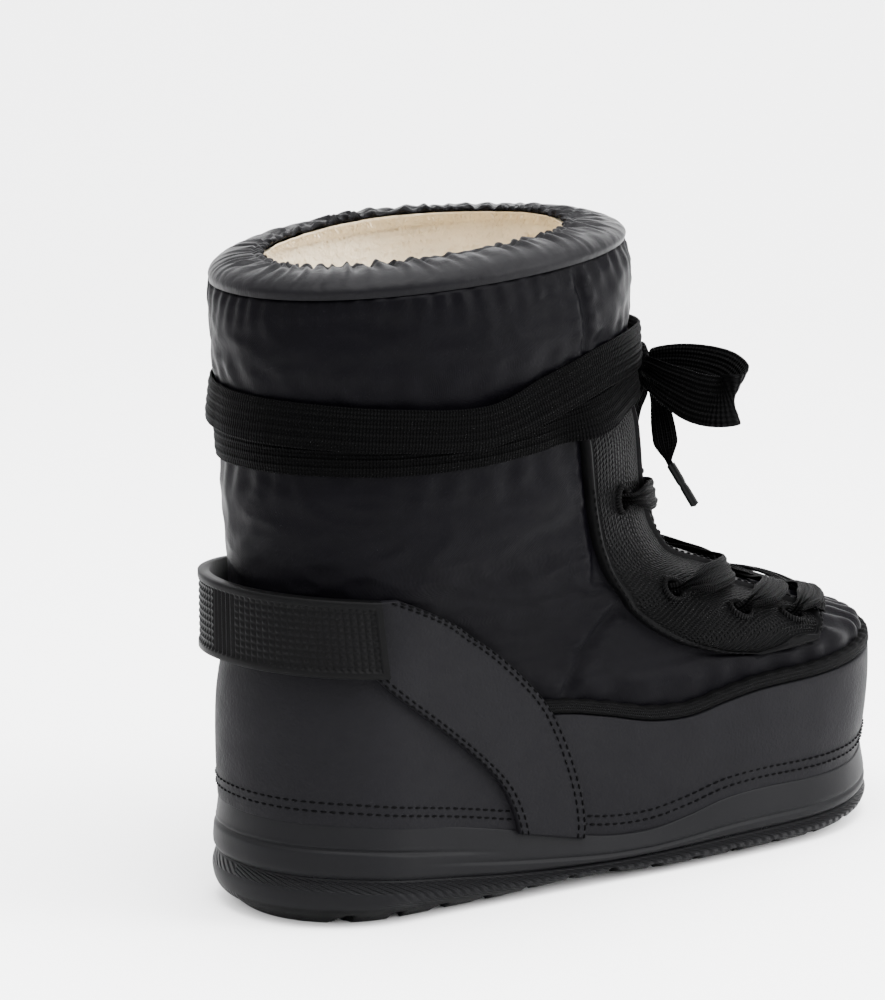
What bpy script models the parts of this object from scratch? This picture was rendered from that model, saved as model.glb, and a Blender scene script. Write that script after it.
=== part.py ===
# Apres ski boot for the right foot: a padded nylon boot with a rubber rand, a moulded sole
# and a wrapped lace.
# The toe points to +X, the inner side of the foot to +Y and up is +Z.
# The origin is on the ground, under the middle of the heel. Lengths are in metres.

import math

import bpy
import bmesh
from mathutils import Vector

# Sizes of the upper
LAST_LENGTH = 0.2850
HEEL_SET = 0.0420
BALL_WIDTH = 0.0980
SHAFT_DEPTH = 0.1680
SHAFT_WIDTH = 0.1215
UPPER_HEIGHT = 0.2340
UPPER_WALL = 0.0060
TOE_SHIFT = 0.0020

# Clearance between neighbouring pieces, under a piece bent over another, and under one bent over two
CLEARANCE = 0.0003
SEAT = 0.0005
PANEL_SEAT = 0.0006

# Sizes of the sole
SOLE_EDGE_HEIGHT = 0.0400
PARTING_HEIGHT = 0.0200
SOLE_BULGE = 0.0050
TREAD_INSET = 0.0050
WAIST_LIFT = 0.0020
TOE_SPRING = 0.0085
GROOVE_DEPTH = 0.0045
GROOVE_WIDTH = 0.0050
LUG_PITCH = 0.0190
ZIGZAG_REACH = 0.0035
INSOLE_THICKNESS = 0.0040

# Sizes of the panels
RAND_THICKNESS = 0.0018
RAND_HEIGHT = 0.0760
COUNTER_HEIGHT = 0.1170
BINDING_WIDTH = 0.0055
BINDING_THICKNESS = 0.0020
SIDE_PANEL_THICKNESS = 0.0018
SIDE_PANEL_HEIGHT = 0.1215
EYESTAY_THICKNESS = 0.0018
EYESTAY_RIM = 0.0012
EYESTAY_RIM_WIDTH = 0.0030

# Sizes of the heel strap
STRAP_WIDTH = 0.0290
STRAP_THICKNESS = 0.0032
STRAP_RIM = 0.0010
STRAP_RIM_WIDTH = 0.0030
STRAP_STANDOFF = 0.0018
STRAP_HEIGHT = 0.1112
STRAP_DROP = 0.0032
STRAP_LEAN = 0.0016
STRAP_REACH = 0.0350
STRAP_SLANT = 0.0600

# Sizes of the cuff
CUFF_RISE = 0.0088
CUFF_FRONT_DIP = 0.0028
CUFF_SIDE = 0.0170
CUFF_BACK = 0.0195
CUFF_FRONT = 0.0240

# Sizes of the lace and its eyelets
LACE_WIDTH = 0.0160
LACE_THICKNESS = 0.0018
LOOP_WIDTH = 0.0205
LOOP_TILT = 0.55
EYELET_LENGTH = 0.0120
EYELET_WIDTH = 0.0090
EYELET_RING = 0.0021
EYELET_RISE = 0.0013
EYELET_HOLE_PLAY = 0.0004
BUNCH_WIDTH = 0.0040
CROSSING_WIDTH = 0.0105
RUN_LIFT = 0.0012
THROAT_GAP = 0.0026
AGLET_LENGTH = 0.0190
AGLET_WIDTH = 0.0034
LACE_END_WIDTH = 0.0095
KNOT_SIZE = 0.0150
AGLET_GAP = 0.0007

# Points round the boot, and how square its rounded ends are: 2 is an ellipse
AROUND = 40
ROUND_PROFILE = 2.1

# Rows of the upper from its feather line to the collar seam.
# back and front are shares of the length. It turns from LAST_LENGTH to SHAFT_DEPTH as shaft goes to 1.
# back_rise, front_rise and sag are shares of UPPER_HEIGHT, half is a share of half the width.
# heel_round and toe_round are the shares of the row's length that its two ends are rounded over.
# foot is how much of the foot's left and right curve the row has.
UPPER_COLUMNS = ("back", "back_rise", "front", "front_rise", "sag", "half",
                 "heel_round", "toe_round", "foot", "shaft")
UPPER_ROWS = (
    (0.006, 0.107, 0.978, 0.073, 0.034, 0.970, 0.155, 0.200, 1.00, 0.00),
    (0.002, 0.180, 0.994, 0.165, 0.030, 0.995, 0.155, 0.200, 1.00, 0.00),
    (0.000, 0.250, 1.000, 0.250, 0.016, 1.000, 0.155, 0.200, 1.00, 0.00),
    (0.001, 0.322, 0.993, 0.322, 0.004, 0.992, 0.155, 0.203, 1.00, 0.00),
    (0.005, 0.366, 0.951, 0.344, 0.000, 0.972, 0.160, 0.215, 1.00, 0.00),
    (0.010, 0.402, 0.889, 0.368, 0.000, 0.945, 0.175, 0.232, 0.95, 0.00),
    (0.014, 0.434, 0.820, 0.397, 0.000, 0.925, 0.200, 0.255, 0.85, 0.00),
    (0.016, 0.466, 0.748, 0.434, 0.000, 0.922, 0.240, 0.290, 0.65, 0.00),
    (0.017, 0.506, 1.012, 0.480, 0.000, 0.790, 0.290, 0.340, 0.45, 0.80),
    (0.019, 0.552, 1.066, 0.536, 0.000, 0.785, 0.350, 0.400, 0.25, 1.00),
    (0.018, 0.606, 1.026, 0.606, 0.000, 0.825, 0.410, 0.450, 0.10, 1.00),
    (0.013, 0.686, 1.006, 0.694, 0.000, 0.872, 0.460, 0.480, 0.00, 1.00),
    (0.006, 0.788, 0.984, 0.806, 0.000, 0.922, 0.490, 0.490, 0.00, 1.00),
    (0.000, 0.890, 0.984, 0.926, 0.000, 0.968, 0.500, 0.500, 0.00, 1.00),
    (-0.006, 0.986, 0.966, 1.030, 0.000, 0.992, 0.500, 0.500, 0.00, 1.00),
)
TOP_LEVEL = len(UPPER_ROWS) - 1.0

# Left and right curve of the foot: half widths at stations from heel to toe, as shares of the row's half
FOOT_COLUMNS = ("station", "outer", "inner")
FOOT_ROWS = (
    (0.00, 0.86, 0.86),
    (0.10, 0.88, 0.88),
    (0.25, 0.90, 0.87),
    (0.42, 0.94, 0.86),
    (0.60, 1.02, 0.94),
    (0.74, 1.04, 1.02),
    (0.88, 1.00, 1.02),
    (1.00, 0.92, 0.95),
)

# How the feather line sags between heel and toe: station and share of the row's sag
SAG_ROWS = ((0.00, 0.00), (0.20, 0.22), (0.40, 0.70), (0.60, 1.00), (0.80, 0.72), (1.00, 0.00))

# Edges along the boot, at stations along LAST_LENGTH.
# edge is a share of SOLE_EDGE_HEIGHT, parting of PARTING_HEIGHT, rand of RAND_HEIGHT,
# lift of WAIST_LIFT and spring of TOE_SPRING.
EDGE_COLUMNS = ("station", "edge", "parting", "rand", "lift", "spring")
EDGE_ROWS = (
    (0.00, 1.02, 1.00, 0.98, 0.0, 0.00),
    (0.08, 0.98, 0.93, 0.98, 0.0, 0.00),
    (0.15, 0.90, 0.80, 0.98, 0.0, 0.00),
    (0.23, 0.80, 0.66, 0.98, 0.0, 0.00),
    (0.31, 0.68, 0.53, 0.98, 0.0, 0.00),
    (0.39, 0.55, 0.45, 0.97, 0.9, 0.00),
    (0.46, 0.45, 0.41, 0.92, 0.9, 0.00),
    (0.53, 0.43, 0.41, 0.86, 0.0, 0.00),
    (0.59, 0.50, 0.43, 0.85, 0.0, 0.00),
    (0.65, 0.60, 0.45, 0.89, 0.0, 0.00),
    (0.71, 0.63, 0.46, 0.92, 0.0, 0.00),
    (0.80, 0.62, 0.47, 0.93, 0.0, 0.00),
    (0.90, 0.64, 0.52, 0.95, 0.0, 0.22),
    (1.00, 0.74, 0.66, 0.98, 0.0, 1.00),
)

# Side of the outsole from its tread to the parting line, and of the midsole from there to its edge.
# rise is a share of that height, out is a share of SOLE_BULGE beyond the foot's outline.
OUTSOLE_SIDE = ((0.00, -1.00), (0.12, -0.40), (0.32, 0.60), (0.65, 1.00), (0.90, 0.82), (1.00, 0.62))
MIDSOLE_SIDE = ((0.00, 0.66), (0.10, 0.90), (0.35, 0.88), (0.70, 0.70), (1.00, 0.54))

# Side panel that leans from the strap's end down to the sole.
# height is a share of SIDE_PANEL_HEIGHT, rear and front are stations along LAST_LENGTH.
PANEL_COLUMNS = ("height", "rear", "front")
PANEL_ROWS = (
    (0.200, 0.320, 0.422),
    (0.290, 0.308, 0.416),
    (0.390, 0.284, 0.404),
    (0.490, 0.242, 0.388),
    (0.590, 0.192, 0.366),
    (0.690, 0.140, 0.332),
    (0.780, 0.106, 0.294),
    (0.870, 0.102, 0.240),
    (0.940, 0.104, 0.190),
    (1.000, 0.108, 0.136),
)

# Eyestay on each side of the throat: levels, with the angle of its two edges from the front in degrees
EYESTAY_COLUMNS = ("level", "throat", "outer")
EYESTAY_ROWS = (
    (11.90, 30.0, 67.5),
    (11.20, 30.0, 67.5),
    (10.10, 30.0, 66.0),
    (9.00, 29.0, 66.5),
    (8.00, 27.0, 69.5),
    (7.10, 25.0, 72.5),
    (6.30, 24.5, 74.5),
    (5.60, 25.5, 75.5),
    (5.00, 28.0, 75.5),
    (4.40, 34.0, 74.5),
    (3.90, 42.0, 72.5),
    (3.60, 46.0, 70.0),
    (3.30, 49.5, 63.0),
)
EYESTAY_RISING = EYESTAY_ROWS[::-1]

# Places of the eyelets: level, and turn from the front in degrees
EYELET_ROWS = ((10.15, 51.0), (7.45, 57.5), (5.85, 49.0), (4.85, 41.0))

# Profile of the cuff: how far inward as a share of its depth, and its rise as a share of CUFF_RISE
CUFF_OUTSIDE = ((-0.010, 0.00), (-0.020, 0.35), (0.120, 0.72), (0.400, 0.97), (0.760, 1.07), (1.000, 1.08))
CUFF_INSIDE = ((0.985, 0.88), (0.700, 0.74), (0.400, 0.36), (0.300, 0.00))

# The lace wraps: turn in degrees from the heel, over the outer side to the toe and back by the inner side.
# low and high are the middles of the two wraps as shares of UPPER_HEIGHT.
WRAP_COLUMNS = ("turn", "low", "high")
WRAP_ROWS = (
    (0.0, 0.7520, 0.8030),
    (30.0, 0.7520, 0.7980),
    (55.0, 0.7500, 0.7900),
    (80.0, 0.7540, 0.7860),
    (100.0, 0.7660, 0.8190),
    (120.0, 0.7840, 0.8470),
    (145.0, 0.8050, 0.8540),
    (180.0, 0.8100, 0.8480),
    (215.0, 0.7980, 0.8480),
    (250.0, 0.7780, 0.8380),
    (290.0, 0.7580, 0.8180),
    (325.0, 0.7520, 0.8110),
    (360.0, 0.7520, 0.8030),
)

# Routes of the free lace, in metres, from the knot outwards
KNOT_PLACE = (0.1327, -0.0090, 0.1890)
OUTER_LOOP = ((0.1345, -0.0157, 0.1880), (0.1405, -0.0245, 0.1885), (0.1440, -0.0350, 0.1880),
              (0.1455, -0.0455, 0.1865), (0.1435, -0.0550, 0.1835), (0.1385, -0.0600, 0.1810),
              (0.1340, -0.0565, 0.1795), (0.1322, -0.0470, 0.1795), (0.1316, -0.0370, 0.1810),
              (0.1312, -0.0270, 0.1830), (0.1314, -0.0157, 0.1860))
INNER_LOOP = ((0.1345, -0.0026, 0.1880), (0.1400, 0.0075, 0.1885), (0.1435, 0.0185, 0.1875),
              (0.1450, 0.0290, 0.1855), (0.1435, 0.0385, 0.1820), (0.1390, 0.0425, 0.1795),
              (0.1345, 0.0390, 0.1785), (0.1326, 0.0290, 0.1790), (0.1318, 0.0190, 0.1810),
              (0.1312, 0.0090, 0.1830), (0.1314, -0.0026, 0.1860))
OUTER_END = ((0.1384, -0.0080, 0.1905), (0.1393, -0.0090, 0.1850), (0.1402, -0.0112, 0.1785),
             (0.1404, -0.0140, 0.1715), (0.1400, -0.0165, 0.1640), (0.1396, -0.0190, 0.1565),
             (0.1396, -0.0210, 0.1500))
OUTER_TIP = (0.1450, -0.0290, 0.1350)
INNER_END = ((0.1364, -0.0085, 0.1836), (0.1368, -0.0070, 0.1780), (0.1385, -0.0010, 0.1710),
             (0.1408, 0.0050, 0.1630), (0.1423, 0.0095, 0.1550), (0.1435, 0.0130, 0.1460),
             (0.1450, 0.0150, 0.1375))
INNER_TIP = (0.1500, 0.0190, 0.1200)


# Reading tables

def smooth_value(rows, column, at):
    """Read one column of a table at a value of its first column, with a smooth curve through the rows."""
    last = len(rows) - 1
    if at <= rows[0][0]:
        return rows[0][column]
    if at >= rows[last][0]:
        return rows[last][column]
    low = max(index for index in range(last) if rows[index][0] <= at)

    def slope(index):
        before = max(index - 1, 0)
        after = min(index + 1, last)
        return (rows[after][column] - rows[before][column]) / (rows[after][0] - rows[before][0])

    span = rows[low + 1][0] - rows[low][0]
    u = (at - rows[low][0]) / span
    share = 3 * u ** 2 - 2 * u ** 3
    start = (1 - share) * rows[low][column] + share * rows[low + 1][column]
    bend = (u ** 3 - 2 * u ** 2 + u) * slope(low) + (u ** 3 - u ** 2) * slope(low + 1)
    return start + bend * span


def straight_value(rows, column, at):
    """Read one column of a table with straight lines between the rows."""
    for low, high in zip(rows, rows[1:]):
        if at <= high[0]:
            u = (at - low[0]) / (high[0] - low[0])
            return low[column] + (high[column] - low[column]) * max(0.0, u)
    return rows[-1][column]


def smooth_step(value, low, high):
    """Rise from 0 to 1 between two values."""
    share = min(max((value - low) / (high - low), 0.0), 1.0)
    return share * share * (3.0 - 2.0 * share)


LEVEL_ROWS = tuple((float(index),) + row for index, row in enumerate(UPPER_ROWS))


def upper_row(level):
    """The values of the upper's table at a level between its rows."""
    return {name: smooth_value(LEVEL_ROWS, column + 1, level) for column, name in enumerate(UPPER_COLUMNS)}


# The table read once at fine steps, to save time
ROW_STEPS = 400
ROW_CACHE = [upper_row(TOP_LEVEL * step / ROW_STEPS) for step in range(ROW_STEPS + 1)]


def quick_row(level):
    """The table's values read from finely spaced rows."""
    place = min(max(level / TOP_LEVEL, 0.0), 1.0) * ROW_STEPS
    low = min(int(place), ROW_STEPS - 1)
    share = place - low
    first, second = ROW_CACHE[low], ROW_CACHE[low + 1]
    return {name: first[name] + (second[name] - first[name]) * share for name in UPPER_COLUMNS}


# The upper's own surface

def end_round(station, share):
    """Width share near a rounded end of a row."""
    if station >= share:
        return 1.0
    return (1.0 - (1.0 - station / share) ** ROUND_PROFILE) ** (1.0 / ROUND_PROFILE)


def upper_point(turn, level):
    """A point on the upper's outside. The turn is 0 at the heel, pi at the toe, then past the outer side."""
    row = quick_row(level)
    shaft = row["shaft"]
    length = LAST_LENGTH + (SHAFT_DEPTH - LAST_LENGTH) * shaft
    half = row["half"] * 0.5 * (BALL_WIDTH + (SHAFT_WIDTH - BALL_WIDTH) * shaft)
    station = min(max(0.5 * (1.0 - math.cos(turn)), 0.0), 1.0)
    side = FOOT_COLUMNS.index("outer" if math.sin(turn) < 0.0 else "inner")
    curve = 1.0 + row["foot"] * (smooth_value(FOOT_ROWS, side, station) - 1.0)
    width = half * curve * end_round(station, row["heel_round"]) * end_round(1.0 - station, row["toe_round"])
    back = row["back"] * length - HEEL_SET
    front = row["front"] * length - HEEL_SET
    shift = row["foot"] * TOE_SHIFT * max(0.0, (station - 0.4) / 0.6) ** 2
    sag = row["sag"] * UPPER_HEIGHT * smooth_value(SAG_ROWS, 1, station)
    rise = (row["back_rise"] + (row["front_rise"] - row["back_rise"]) * station) * UPPER_HEIGHT
    y = math.copysign(width, math.sin(turn)) + shift
    return Vector((back + (front - back) * station, y, rise - sag))


def on_upper(turn, level, out=0.0):
    """A point at a distance outside the upper's surface, and inside it for a negative distance."""
    point = upper_point(turn, level)
    if out == 0.0:
        return point
    return point + upper_normal(turn, level) * out


def upper_normal(turn, level):
    """The outward direction of the upper's surface."""
    step = 0.02
    low = max(level - 0.05, 0.0)
    high = min(level + 0.05, TOP_LEVEL)
    around = upper_point(turn + step, level) - upper_point(turn - step, level)
    upward = upper_point(turn, high) - upper_point(turn, low)
    return upward.cross(around).normalized()


def level_at(turn, height, top=7.0):
    """The level at which the upper reaches a height on its lower wall."""
    low, high = 0.0, top
    for _ in range(18):
        middle = 0.5 * (low + high)
        if upper_point(turn, middle).z < height:
            low = middle
        else:
            high = middle
    return 0.5 * (low + high)


def turn_at(x, level, side):
    """The turn at which a row passes a place along the boot; side is 1 for inner and -1 for outer."""
    back = upper_point(0.0, level).x
    front = upper_point(math.pi, level).x
    station = min(max((x - back) / (front - back), 0.0), 1.0)
    return side * math.acos(1.0 - 2.0 * station)


def station_of(x):
    """Share of the last's length at a place along the boot."""
    return min(max((x + HEEL_SET) / LAST_LENGTH, 0.0), 1.0)


def edge_height(name, x):
    """Height of a named edge of the sole or rand at a place along the boot."""
    sizes = {"edge": SOLE_EDGE_HEIGHT, "parting": PARTING_HEIGHT, "rand": RAND_HEIGHT,
             "lift": WAIST_LIFT, "spring": TOE_SPRING}
    read = straight_value if name in ("lift", "spring") else smooth_value
    return sizes[name] * read(EDGE_ROWS, EDGE_COLUMNS.index(name), station_of(x))


def ring_turns(count=AROUND):
    """Turns all round the boot, the same on both sides."""
    return [2.0 * math.pi * index / count for index in range(count)]


# Least turn between two columns of a panel
NUDGE = 0.014


def turns_between(start, end, first, last):
    """Turns from start to end by way of the upper's own ring turns first to last, kept in order."""
    turns = [start]
    count = last - first + 1
    for place in range(count):
        ring = 2.0 * math.pi * (first + place) / AROUND
        turns.append(min(max(ring, start + NUDGE * (place + 1)), end - NUDGE * (count - place)))
    return turns + [end]


# Making solids

MATERIALS = {
    "nylon": ((0.012, 0.011, 0.014), 0.42),
    "rand_leather": ((0.042, 0.042, 0.047), 0.62),
    "sole_rubber": ((0.036, 0.036, 0.040), 0.50),
    "trim_rubber": ((0.030, 0.030, 0.030), 0.55),
    "tape": ((0.022, 0.022, 0.022), 0.85),
    "lace": ((0.016, 0.016, 0.017), 0.80),
    "felt": ((0.62, 0.54, 0.40), 0.95),
    "clear_plastic": ((0.020, 0.020, 0.020), 0.25),
}


def clear_scene():
    """Remove whatever the scene holds."""
    for thing in list(bpy.data.objects):
        bpy.data.objects.remove(thing, do_unlink=True)


def material_for(name, finish):
    """A material of the piece's own, with the finish's colour and roughness."""
    colour, roughness = MATERIALS[finish]
    material = bpy.data.materials.new(name + "_" + finish)
    material.use_nodes = True
    shader = material.node_tree.nodes["Principled BSDF"]
    shader.inputs["Base Color"].default_value = (*colour, 1.0)
    shader.inputs["Roughness"].default_value = roughness
    shader.inputs["Metallic"].default_value = 0.0
    return material


def add_solid(name, points, faces, finish, sharp=40.0):
    """One closed solid from its points and faces, facing outward."""
    mesh = bpy.data.meshes.new(name)
    shape = bmesh.new()
    corners = [shape.verts.new(point) for point in points]
    for face in faces:
        shape.faces.new([corners[index] for index in face])
    bmesh.ops.recalc_face_normals(shape, faces=shape.faces[:])
    if shape.calc_volume(signed=True) < 0.0:
        bmesh.ops.reverse_faces(shape, faces=shape.faces[:])
    shape.to_mesh(mesh)
    shape.free()
    solid = bpy.data.objects.new(name, mesh)
    bpy.context.scene.collection.objects.link(solid)
    if finish:
        mesh.materials.append(material_for(name, finish))
        mesh.shade_smooth()
        mesh.set_sharp_from_angle(angle=math.radians(sharp))
    return solid


def ring_faces(rings, around, closed):
    """Quads between neighbouring rings, and from the last to the first where the profile is closed."""
    faces = []
    for row in range(rings if closed else rings - 1):
        above = (row + 1) % rings
        for index in range(around):
            beside = (index + 1) % around
            faces.append((row * around + index, row * around + beside, above * around + beside,
                          above * around + index))
    return faces


def cross_cap(start, around):
    """Faces across a ring whose two sides mirror each other, from the heel to the toe."""
    half = around // 2
    faces = [(start, start + 1, start + around - 1), (start + half - 1, start + half, start + half + 1)]
    for index in range(1, half - 1):
        faces.append((start + index, start + index + 1, start + around - index - 1, start + around - index))
    return faces


def add_ring_solid(name, rings, finish, closed=False, sharp=40.0):
    """A solid of rings all round the boot. Without a closed profile its two ends are capped across."""
    around = len(rings[0])
    points = [point for ring in rings for point in ring]
    faces = ring_faces(len(rings), around, closed)
    if not closed:
        faces += cross_cap(0, around) + cross_cap((len(rings) - 1) * around, around)
    return add_solid(name, points, faces, finish, sharp)


def add_patch_solid(name, outside, inside, finish, sharp=40.0):
    """A plate between two grids of points of one size."""
    rows, columns = len(outside), len(outside[0])
    points = [point for row in outside for point in row] + [point for row in inside for point in row]
    under = rows * columns
    faces = []
    for row in range(rows - 1):
        for column in range(columns - 1):
            corner = row * columns + column
            quad = (corner, corner + 1, corner + columns + 1, corner + columns)
            faces.append(quad)
            faces.append(tuple(under + index for index in reversed(quad)))
    rim = list(range(columns)) + [row * columns + columns - 1 for row in range(1, rows)]
    rim += list(range(rows * columns - 2, (rows - 1) * columns - 1, -1))
    rim += [row * columns for row in range(rows - 2, 0, -1)]
    for first, second in zip(rim, rim[1:] + rim[:1]):
        faces.append((first, under + first, under + second, second))
    return add_solid(name, points, faces, finish, sharp)


def add_swept_solid(name, sections, finish, closed=False, sharp=50.0):
    """A solid swept through sections of equal point counts, with flat ends or joined round."""
    around = len(sections[0])
    points = [point for section in sections for point in section]
    faces = ring_faces(len(sections), around, closed)
    if not closed:
        faces.append(tuple(range(around)))
        faces.append(tuple(len(points) - around + index for index in range(around)))
    return add_solid(name, points, faces, finish, sharp)


def join(solid, other):
    """Join a second solid into the first and leave the second as a hidden guide."""
    other.hide_render = True
    other.display_type = "WIRE"
    union = solid.modifiers.new("join " + other.name, "BOOLEAN")
    union.operation = "UNION"
    union.solver = "EXACT"
    union.object = other
    return union


def cut_away(solid, cutter):
    """Cut a hidden guide's shape from a solid."""
    cutter.hide_render = True
    cutter.display_type = "WIRE"
    cut = solid.modifiers.new("cut " + cutter.name, "BOOLEAN")
    cut.operation = "DIFFERENCE"
    cut.solver = "EXACT"
    cut.object = cutter
    return cut


# Upper, cuff and insole

UPPER_LEVELS = (0.0, 1.0, 2.0, 2.7, 3.3, 3.9, 4.5, 5.1, 5.7, 6.3, 6.9, 7.5, 8.2, 8.9, 9.6, 10.4, 11.9,
                TOP_LEVEL)
UPPER_INNER_LEVELS = (TOP_LEVEL, 11.0, 8.6, 7.2, 5.9, 4.4, 2.4, 0.0)


def inner_point(turn, level):
    """A point on the upper's inside. The wall keeps its thickness and stays level at both edges."""
    normal = upper_normal(turn, level)
    ease = min(1.0, level / 0.8, (TOP_LEVEL - level) / 0.8)
    flat = Vector((normal.x, normal.y, normal.z * max(0.0, ease))).normalized()
    return upper_point(turn, level) - flat * UPPER_WALL


def make_upper():
    """The padded nylon upper: one hollow wall, open at the collar and underneath."""
    turns = ring_turns()
    rings = [[upper_point(turn, level) for turn in turns] for level in UPPER_LEVELS]
    rings += [[inner_point(turn, level) for turn in turns] for level in UPPER_INNER_LEVELS]
    return add_ring_solid("upper", rings, "nylon", closed=True)


def make_insole():
    """The footbed inside the upper, on the sole's seat."""
    inset = UPPER_WALL + CLEARANCE
    turns = ring_turns()
    low, high = [], []
    for turn in turns:
        normal = upper_normal(turn, 0.0)
        flat = Vector((normal.x, normal.y, 0.0)).normalized()
        foot = upper_point(turn, 0.0) - flat * inset
        low.append(foot)
        high.append(foot + Vector((0.0, 0.0, INSOLE_THICKNESS)) - flat * INSOLE_THICKNESS * 0.25)
    return add_ring_solid("insole", [low, high], "felt")


def cuff_depth(turn):
    """How far the cuff reaches inward, more at the front and back than at the sides."""
    end = CUFF_BACK if math.cos(turn) > 0.0 else CUFF_FRONT
    return CUFF_SIDE + (end - CUFF_SIDE) * math.cos(turn) ** 2


def cuff_ring(inward, rise):
    """A ring of the cuff above the collar seam."""
    ring = []
    for turn in ring_turns():
        seam = upper_point(turn, TOP_LEVEL)
        normal = upper_normal(turn, TOP_LEVEL)
        flat = Vector((normal.x, normal.y, 0.0)).normalized()
        lift = CUFF_RISE - CUFF_FRONT_DIP * smooth_step(-math.cos(turn), 0.0, 1.0)
        up = Vector((0.0, 0.0, CLEARANCE + rise * lift))
        ring.append(seam - flat * inward * cuff_depth(turn) + up)
    return ring


def make_cuff():
    """The elastic cuff that domes inward from the collar seam."""
    rings = [cuff_ring(inward, rise) for inward, rise in CUFF_OUTSIDE + CUFF_INSIDE]
    return add_ring_solid("collar_cuff", rings, "nylon", closed=True)


# Sole

def outline_point(turn, out, height):
    """A point beside the foot's outline at a height above the ground."""
    base = upper_point(turn, 0.5)
    normal = upper_normal(turn, 0.5)
    flat = Vector((normal.x, normal.y, 0.0)).normalized()
    place = base + flat * out
    return Vector((place.x, place.y, height))


def tread_height(x):
    """Height of the tread: flat under heel and ball, a little higher at the waist and toe."""
    return edge_height("lift", x) + edge_height("spring", x)


def make_midsole():
    """The moulded cup that holds the upper and the insole."""
    turns = ring_turns()
    rings = []
    for rise, out in MIDSOLE_SIDE:
        ring = []
        for turn in turns:
            x = upper_point(turn, 0.5).x
            low = edge_height("parting", x) + CLEARANCE
            high = edge_height("edge", x)
            ring.append(outline_point(turn, out * SOLE_BULGE, low + (high - low) * rise))
        rings.append(ring)
    for share in (1.0, 0.5):
        ring = []
        for turn in turns:
            level = level_at(turn, edge_height("edge", upper_point(turn, 0.5).x)) * share
            ring.append(on_upper(turn, level, CLEARANCE))
        rings.append(ring)
    seat = []
    for turn in turns:
        point = on_upper(turn, 0.0, CLEARANCE)
        seat.append(Vector((point.x, point.y, upper_point(turn, 0.0).z - CLEARANCE)))
    rings.append(seat)
    return add_ring_solid("midsole", rings, "sole_rubber")


def zigzag_groove(middle, points, faces):
    """One groove across the tread, as a zigzag bar that runs past both sides."""
    reach = BALL_WIDTH
    count = 5
    base = len(points)
    for index in range(count):
        y = reach * (index / (count - 1) - 0.5) * 1.4
        x = middle + ZIGZAG_REACH * (1 if index % 2 else -1)
        top = tread_height(middle) + GROOVE_DEPTH
        for dx, z in ((-0.5, -GROOVE_DEPTH), (0.5, -GROOVE_DEPTH), (0.35, top), (-0.35, top)):
            points.append(Vector((x + dx * GROOVE_WIDTH, y, z)))
    for index in range(count - 1):
        for side in range(4):
            beside = (side + 1) % 4
            start = base + index * 4
            faces.append((start + side, start + beside, start + 4 + beside, start + 4 + side))
    faces.append(tuple(base + side for side in range(4)))
    faces.append(tuple(base + (count - 1) * 4 + side for side in range(4)))


def make_outsole():
    """The tread with its bulging side wall and zigzag lugs."""
    turns = ring_turns()
    rings = []
    for rise, out in OUTSOLE_SIDE:
        ring = []
        for turn in turns:
            x = upper_point(turn, 0.5).x
            low = tread_height(x)
            high = edge_height("parting", x)
            reach = out * (TREAD_INSET if out < 0.0 else SOLE_BULGE)
            ring.append(outline_point(turn, reach, low + (high - low) * rise))
        rings.append(ring)
    outsole = add_ring_solid("outsole", rings, "sole_rubber")
    points, faces = [], []
    first = -HEEL_SET + LUG_PITCH
    count = int((LAST_LENGTH - 1.5 * LUG_PITCH) / LUG_PITCH)
    for index in range(count):
        zigzag_groove(first + index * LUG_PITCH, points, faces)
    cutter = add_solid("tread_cutter", points, faces, None)
    cut_away(outsole, cutter)
    return outsole


# Rand, counter and side panels

RAND_OUT = SEAT + RAND_THICKNESS
PANEL_IN = SEAT + max(RAND_THICKNESS, BINDING_THICKNESS) + PANEL_SEAT
PANEL_OUT = PANEL_IN + SIDE_PANEL_THICKNESS
# A level that the wall panels never reach
PANEL_TOP = 9.0


def panel_station(height, column):
    """Place along the boot of the side panel's rear or front edge at a height."""
    share = height / SIDE_PANEL_HEIGHT
    index = PANEL_COLUMNS.index(column)
    return smooth_value(PANEL_ROWS, index, share) * LAST_LENGTH - HEEL_SET


def joint_place(height):
    """Place along the boot where counter and rand meet, under the side panel."""
    return 0.5 * (panel_station(height, "rear") + panel_station(height, "front"))


def beside_upper(turn, height, out):
    """A point at a height, at a distance outside the upper's wall and level with it."""
    level = level_at(turn, height, PANEL_TOP)
    normal = upper_normal(turn, level)
    flat = Vector((normal.x, normal.y, 0.0))
    share = flat.length
    place = upper_point(turn, level) + flat * (out / share ** 2)
    return Vector((place.x, place.y, height))


def panel_grid(places, out):
    """Points at a distance from the upper, for a grid of turns and heights."""
    return [[beside_upper(turn, height, out) for turn, height in row] for row in places]


def sole_edge(turn):
    """Height of the sole's upper edge at a turn round the boot."""
    return edge_height("edge", upper_point(turn, 0.5).x)


def rand_top(turn):
    """Height of the upper edge of the binding at a turn round the boot."""
    return edge_height("rand", upper_point(turn, 2.0).x)


# The first of the upper's ring turns that the rand's columns use; the last is its mirror
RAND_RING = 8


def rand_places(low_of, high_of, rows, trim):
    """Turns and heights of a band that runs from the joint on one side round the toe to the other."""
    places = []
    for row in range(rows):
        share = row / (rows - 1)
        start = 1.3
        for _ in range(8):
            height = low_of(start) + (high_of(start) - low_of(start)) * share
            start = turn_at(joint_place(height) + trim, level_at(start, height), 1)
        line = []
        for turn in turns_between(start, 2.0 * math.pi - start, RAND_RING, AROUND - RAND_RING):
            line.append((turn, low_of(turn) + (high_of(turn) - low_of(turn)) * share))
        places.append(line)
    return places


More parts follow.
